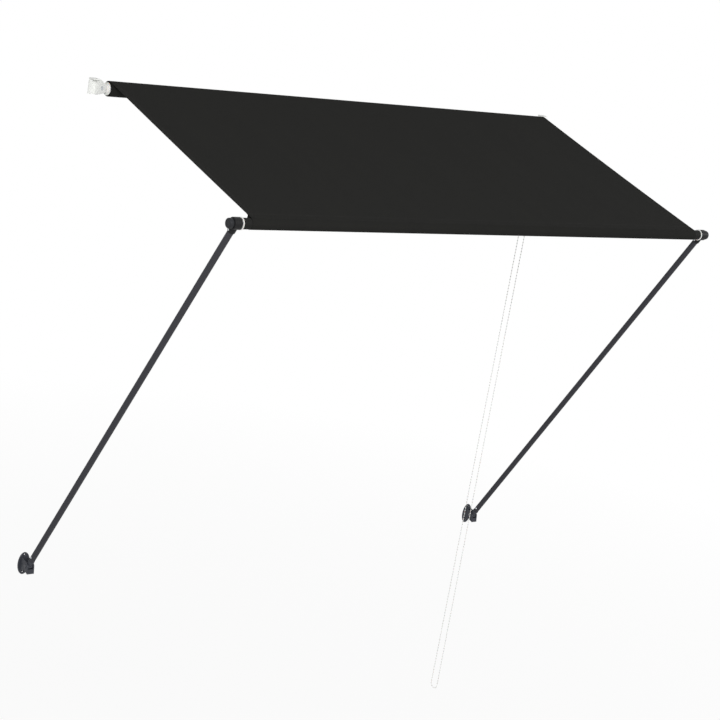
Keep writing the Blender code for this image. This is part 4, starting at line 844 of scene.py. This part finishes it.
plate, fold_radius = 0.003, 0.003
bracket_low, bracket_top, top_out = -0.026, 0.025, 0.026
flange_from, flange_to = 0.9885, 1.014
cheek_outline = np.concatenate([
    [(0, bracket_top), (top_out, bracket_top)], circle_part((roller_out, 0), 0.018, 72, -48, 20),
    [(0.014, bracket_low), (0, bracket_low)],
])
flange_outline = [
    (flange_from, bracket_low), (flange_to, bracket_low),
    (flange_to, bracket_top), (flange_from, bracket_top),
]
top_outline = [(flange_from, 0), (flange_to, 0), (flange_to, top_out), (flange_from, top_out)]
fold_waste = np.concatenate([
    [(cheek_inner - 0.001, fold_radius), (cheek_inner - 0.001, -0.001), (cheek_inner + fold_radius, -0.001)],
    circle_part((cheek_inner + fold_radius, fold_radius), fold_radius, 270, 180, 8),
])
for name, side in sides.items():
    outboard = side * x_axis
    cheek = prism(cheek_outline, cheek_inner, cheek_outer, 0, (0, 0, 0), out_axis, up_axis, outboard, 2)
    flange = prism(flange_outline, 0, plate, 0, (0, 0, 0), outboard, up_axis, out_axis, 2)
    top = prism(top_outline, 0.022, bracket_top, 0, (0, 0, 0), outboard, out_axis, up_axis, 2)
    side_fold = prism(fold_waste, -0.03, 0.03, 0, (0, 0, 0), outboard, out_axis, up_axis, 2)
    top_fold = prism(fold_waste, -0.001, 0.03, 0, bracket_top * up_axis, outboard, -up_axis, out_axis, 2)
    axle_hole = rod(pin_hole, 0.98, 1.0, roller_axis, outboard, 40)
    wall_holes = [
        rod(0.0026, -0.01, 0.01, 1.0032 * outboard + z * up_axis, out_axis, 32) for z in (0.0155, -0.0195)
    ]
    put_piece(shaped(f"folded_bracket_{name}", cheek, [
        (flange, "UNION"), (top, "UNION"),
        *((waste, "DIFFERENCE") for waste in (side_fold, top_fold, axle_hole, *wall_holes)),
    ], edge=0.0005), white_coat, "wall_fixings", "white_powder_coat", [f"roller_bracket_{name}"])

# Floor, light and backdrop. A pale floor lies 2.75 m below the roller and keeps a soft shadow. The light is
# even, with one large soft lamp from the front left, and everything behind the awning is white.
floor_finish, tree, shader = start_finish(
    "pale matt floor", {"Base Color": "#F4F4F3", "Roughness": 0.9, "Specular IOR Level": 0.0},
)


def plain_rays(tree):
    """1 for the rays that see the backdrop white: those of the camera, of reflections and of clear things."""
    rays = add_node(tree, "ShaderNodeLightPath", {})
    seen = add_node(tree, "ShaderNodeMath", {
        0: rays.outputs["Is Camera Ray"], 1: rays.outputs["Is Glossy Ray"],
    }, operation="MAXIMUM")
    return add_node(tree, "ShaderNodeMath", {0: seen, 1: rays.outputs["Is Transmission Ray"]},
                    operation="MAXIMUM")


glow = add_node(tree, "ShaderNodeEmission", {"Color": (1, 1, 1, 1), "Strength": 1.0})
place = add_node(tree, "ShaderNodeTexCoord", {}).outputs["Object"]
from_middle = add_node(tree, "ShaderNodeVectorMath", {0: place}, operation="LENGTH").outputs["Value"]
edge_fade = add_node(tree, "ShaderNodeMapRange", {0: from_middle, 1: 3.0, 2: 6.5, 3: 0.9, 4: 1.0})
white_share = add_node(tree, "ShaderNodeMath", {0: plain_rays(tree), 1: edge_fade}, operation="MULTIPLY")
mixed = add_node(tree, "ShaderNodeMixShader", {0: white_share, 1: shader, 2: glow})
set_inputs(tree.nodes["Material Output"], {"Surface": mixed})
floor_z, floor_rings, floor_steps = -2.75, 15, 72
floor_radius = np.linspace(0, 7, floor_rings)[:, None]
floor_turn = np.linspace(0, 2 * pi, floor_steps, endpoint=False)
floor_points = np.stack([
    floor_radius * np.cos(floor_turn), floor_radius * np.sin(floor_turn),
    np.full((floor_rings, floor_steps), floor_z),
], axis=-1)
floor_faces = grid_faces(floor_rings, floor_steps, close_columns=True)[:, ::-1]
floor = bpy.data.objects.new("floor", make_mesh("floor", floor_points, floor_faces))
floor.data.materials.append(floor_finish)
bpy.context.scene.collection.objects.link(floor)

for name, spot, aim, size, power in (
    ("camera_side_lamp", (-4.3, -4.6, 1.9), (0, -0.4, -0.8), 2.0, 275),
    ("right_lamp", (3.4, -3.4, 1.2), (0, -0.4, -0.8), 2.2, 70),
):
    lamp = bpy.data.objects.new(name, bpy.data.lights.new(name, "AREA"))
    lamp.data.shape, lamp.data.size, lamp.data.energy = "DISK", size, power
    lamp.location = spot
    lamp.rotation_euler = (Vector(aim) - Vector(spot)).to_track_quat("-Z", "Y").to_euler()
    bpy.context.scene.collection.objects.link(lamp)

world = bpy.data.worlds.new("white surroundings")
world.use_nodes = True
tree = world.node_tree
strength = add_node(tree, "ShaderNodeMapRange", {0: plain_rays(tree), 3: 0.35, 4: 1.0})
set_inputs(tree.nodes["Background"], {"Color": (1, 1, 1, 1), "Strength": strength})
bpy.context.scene.world = world
bpy.context.scene.view_settings.view_transform = "Standard"
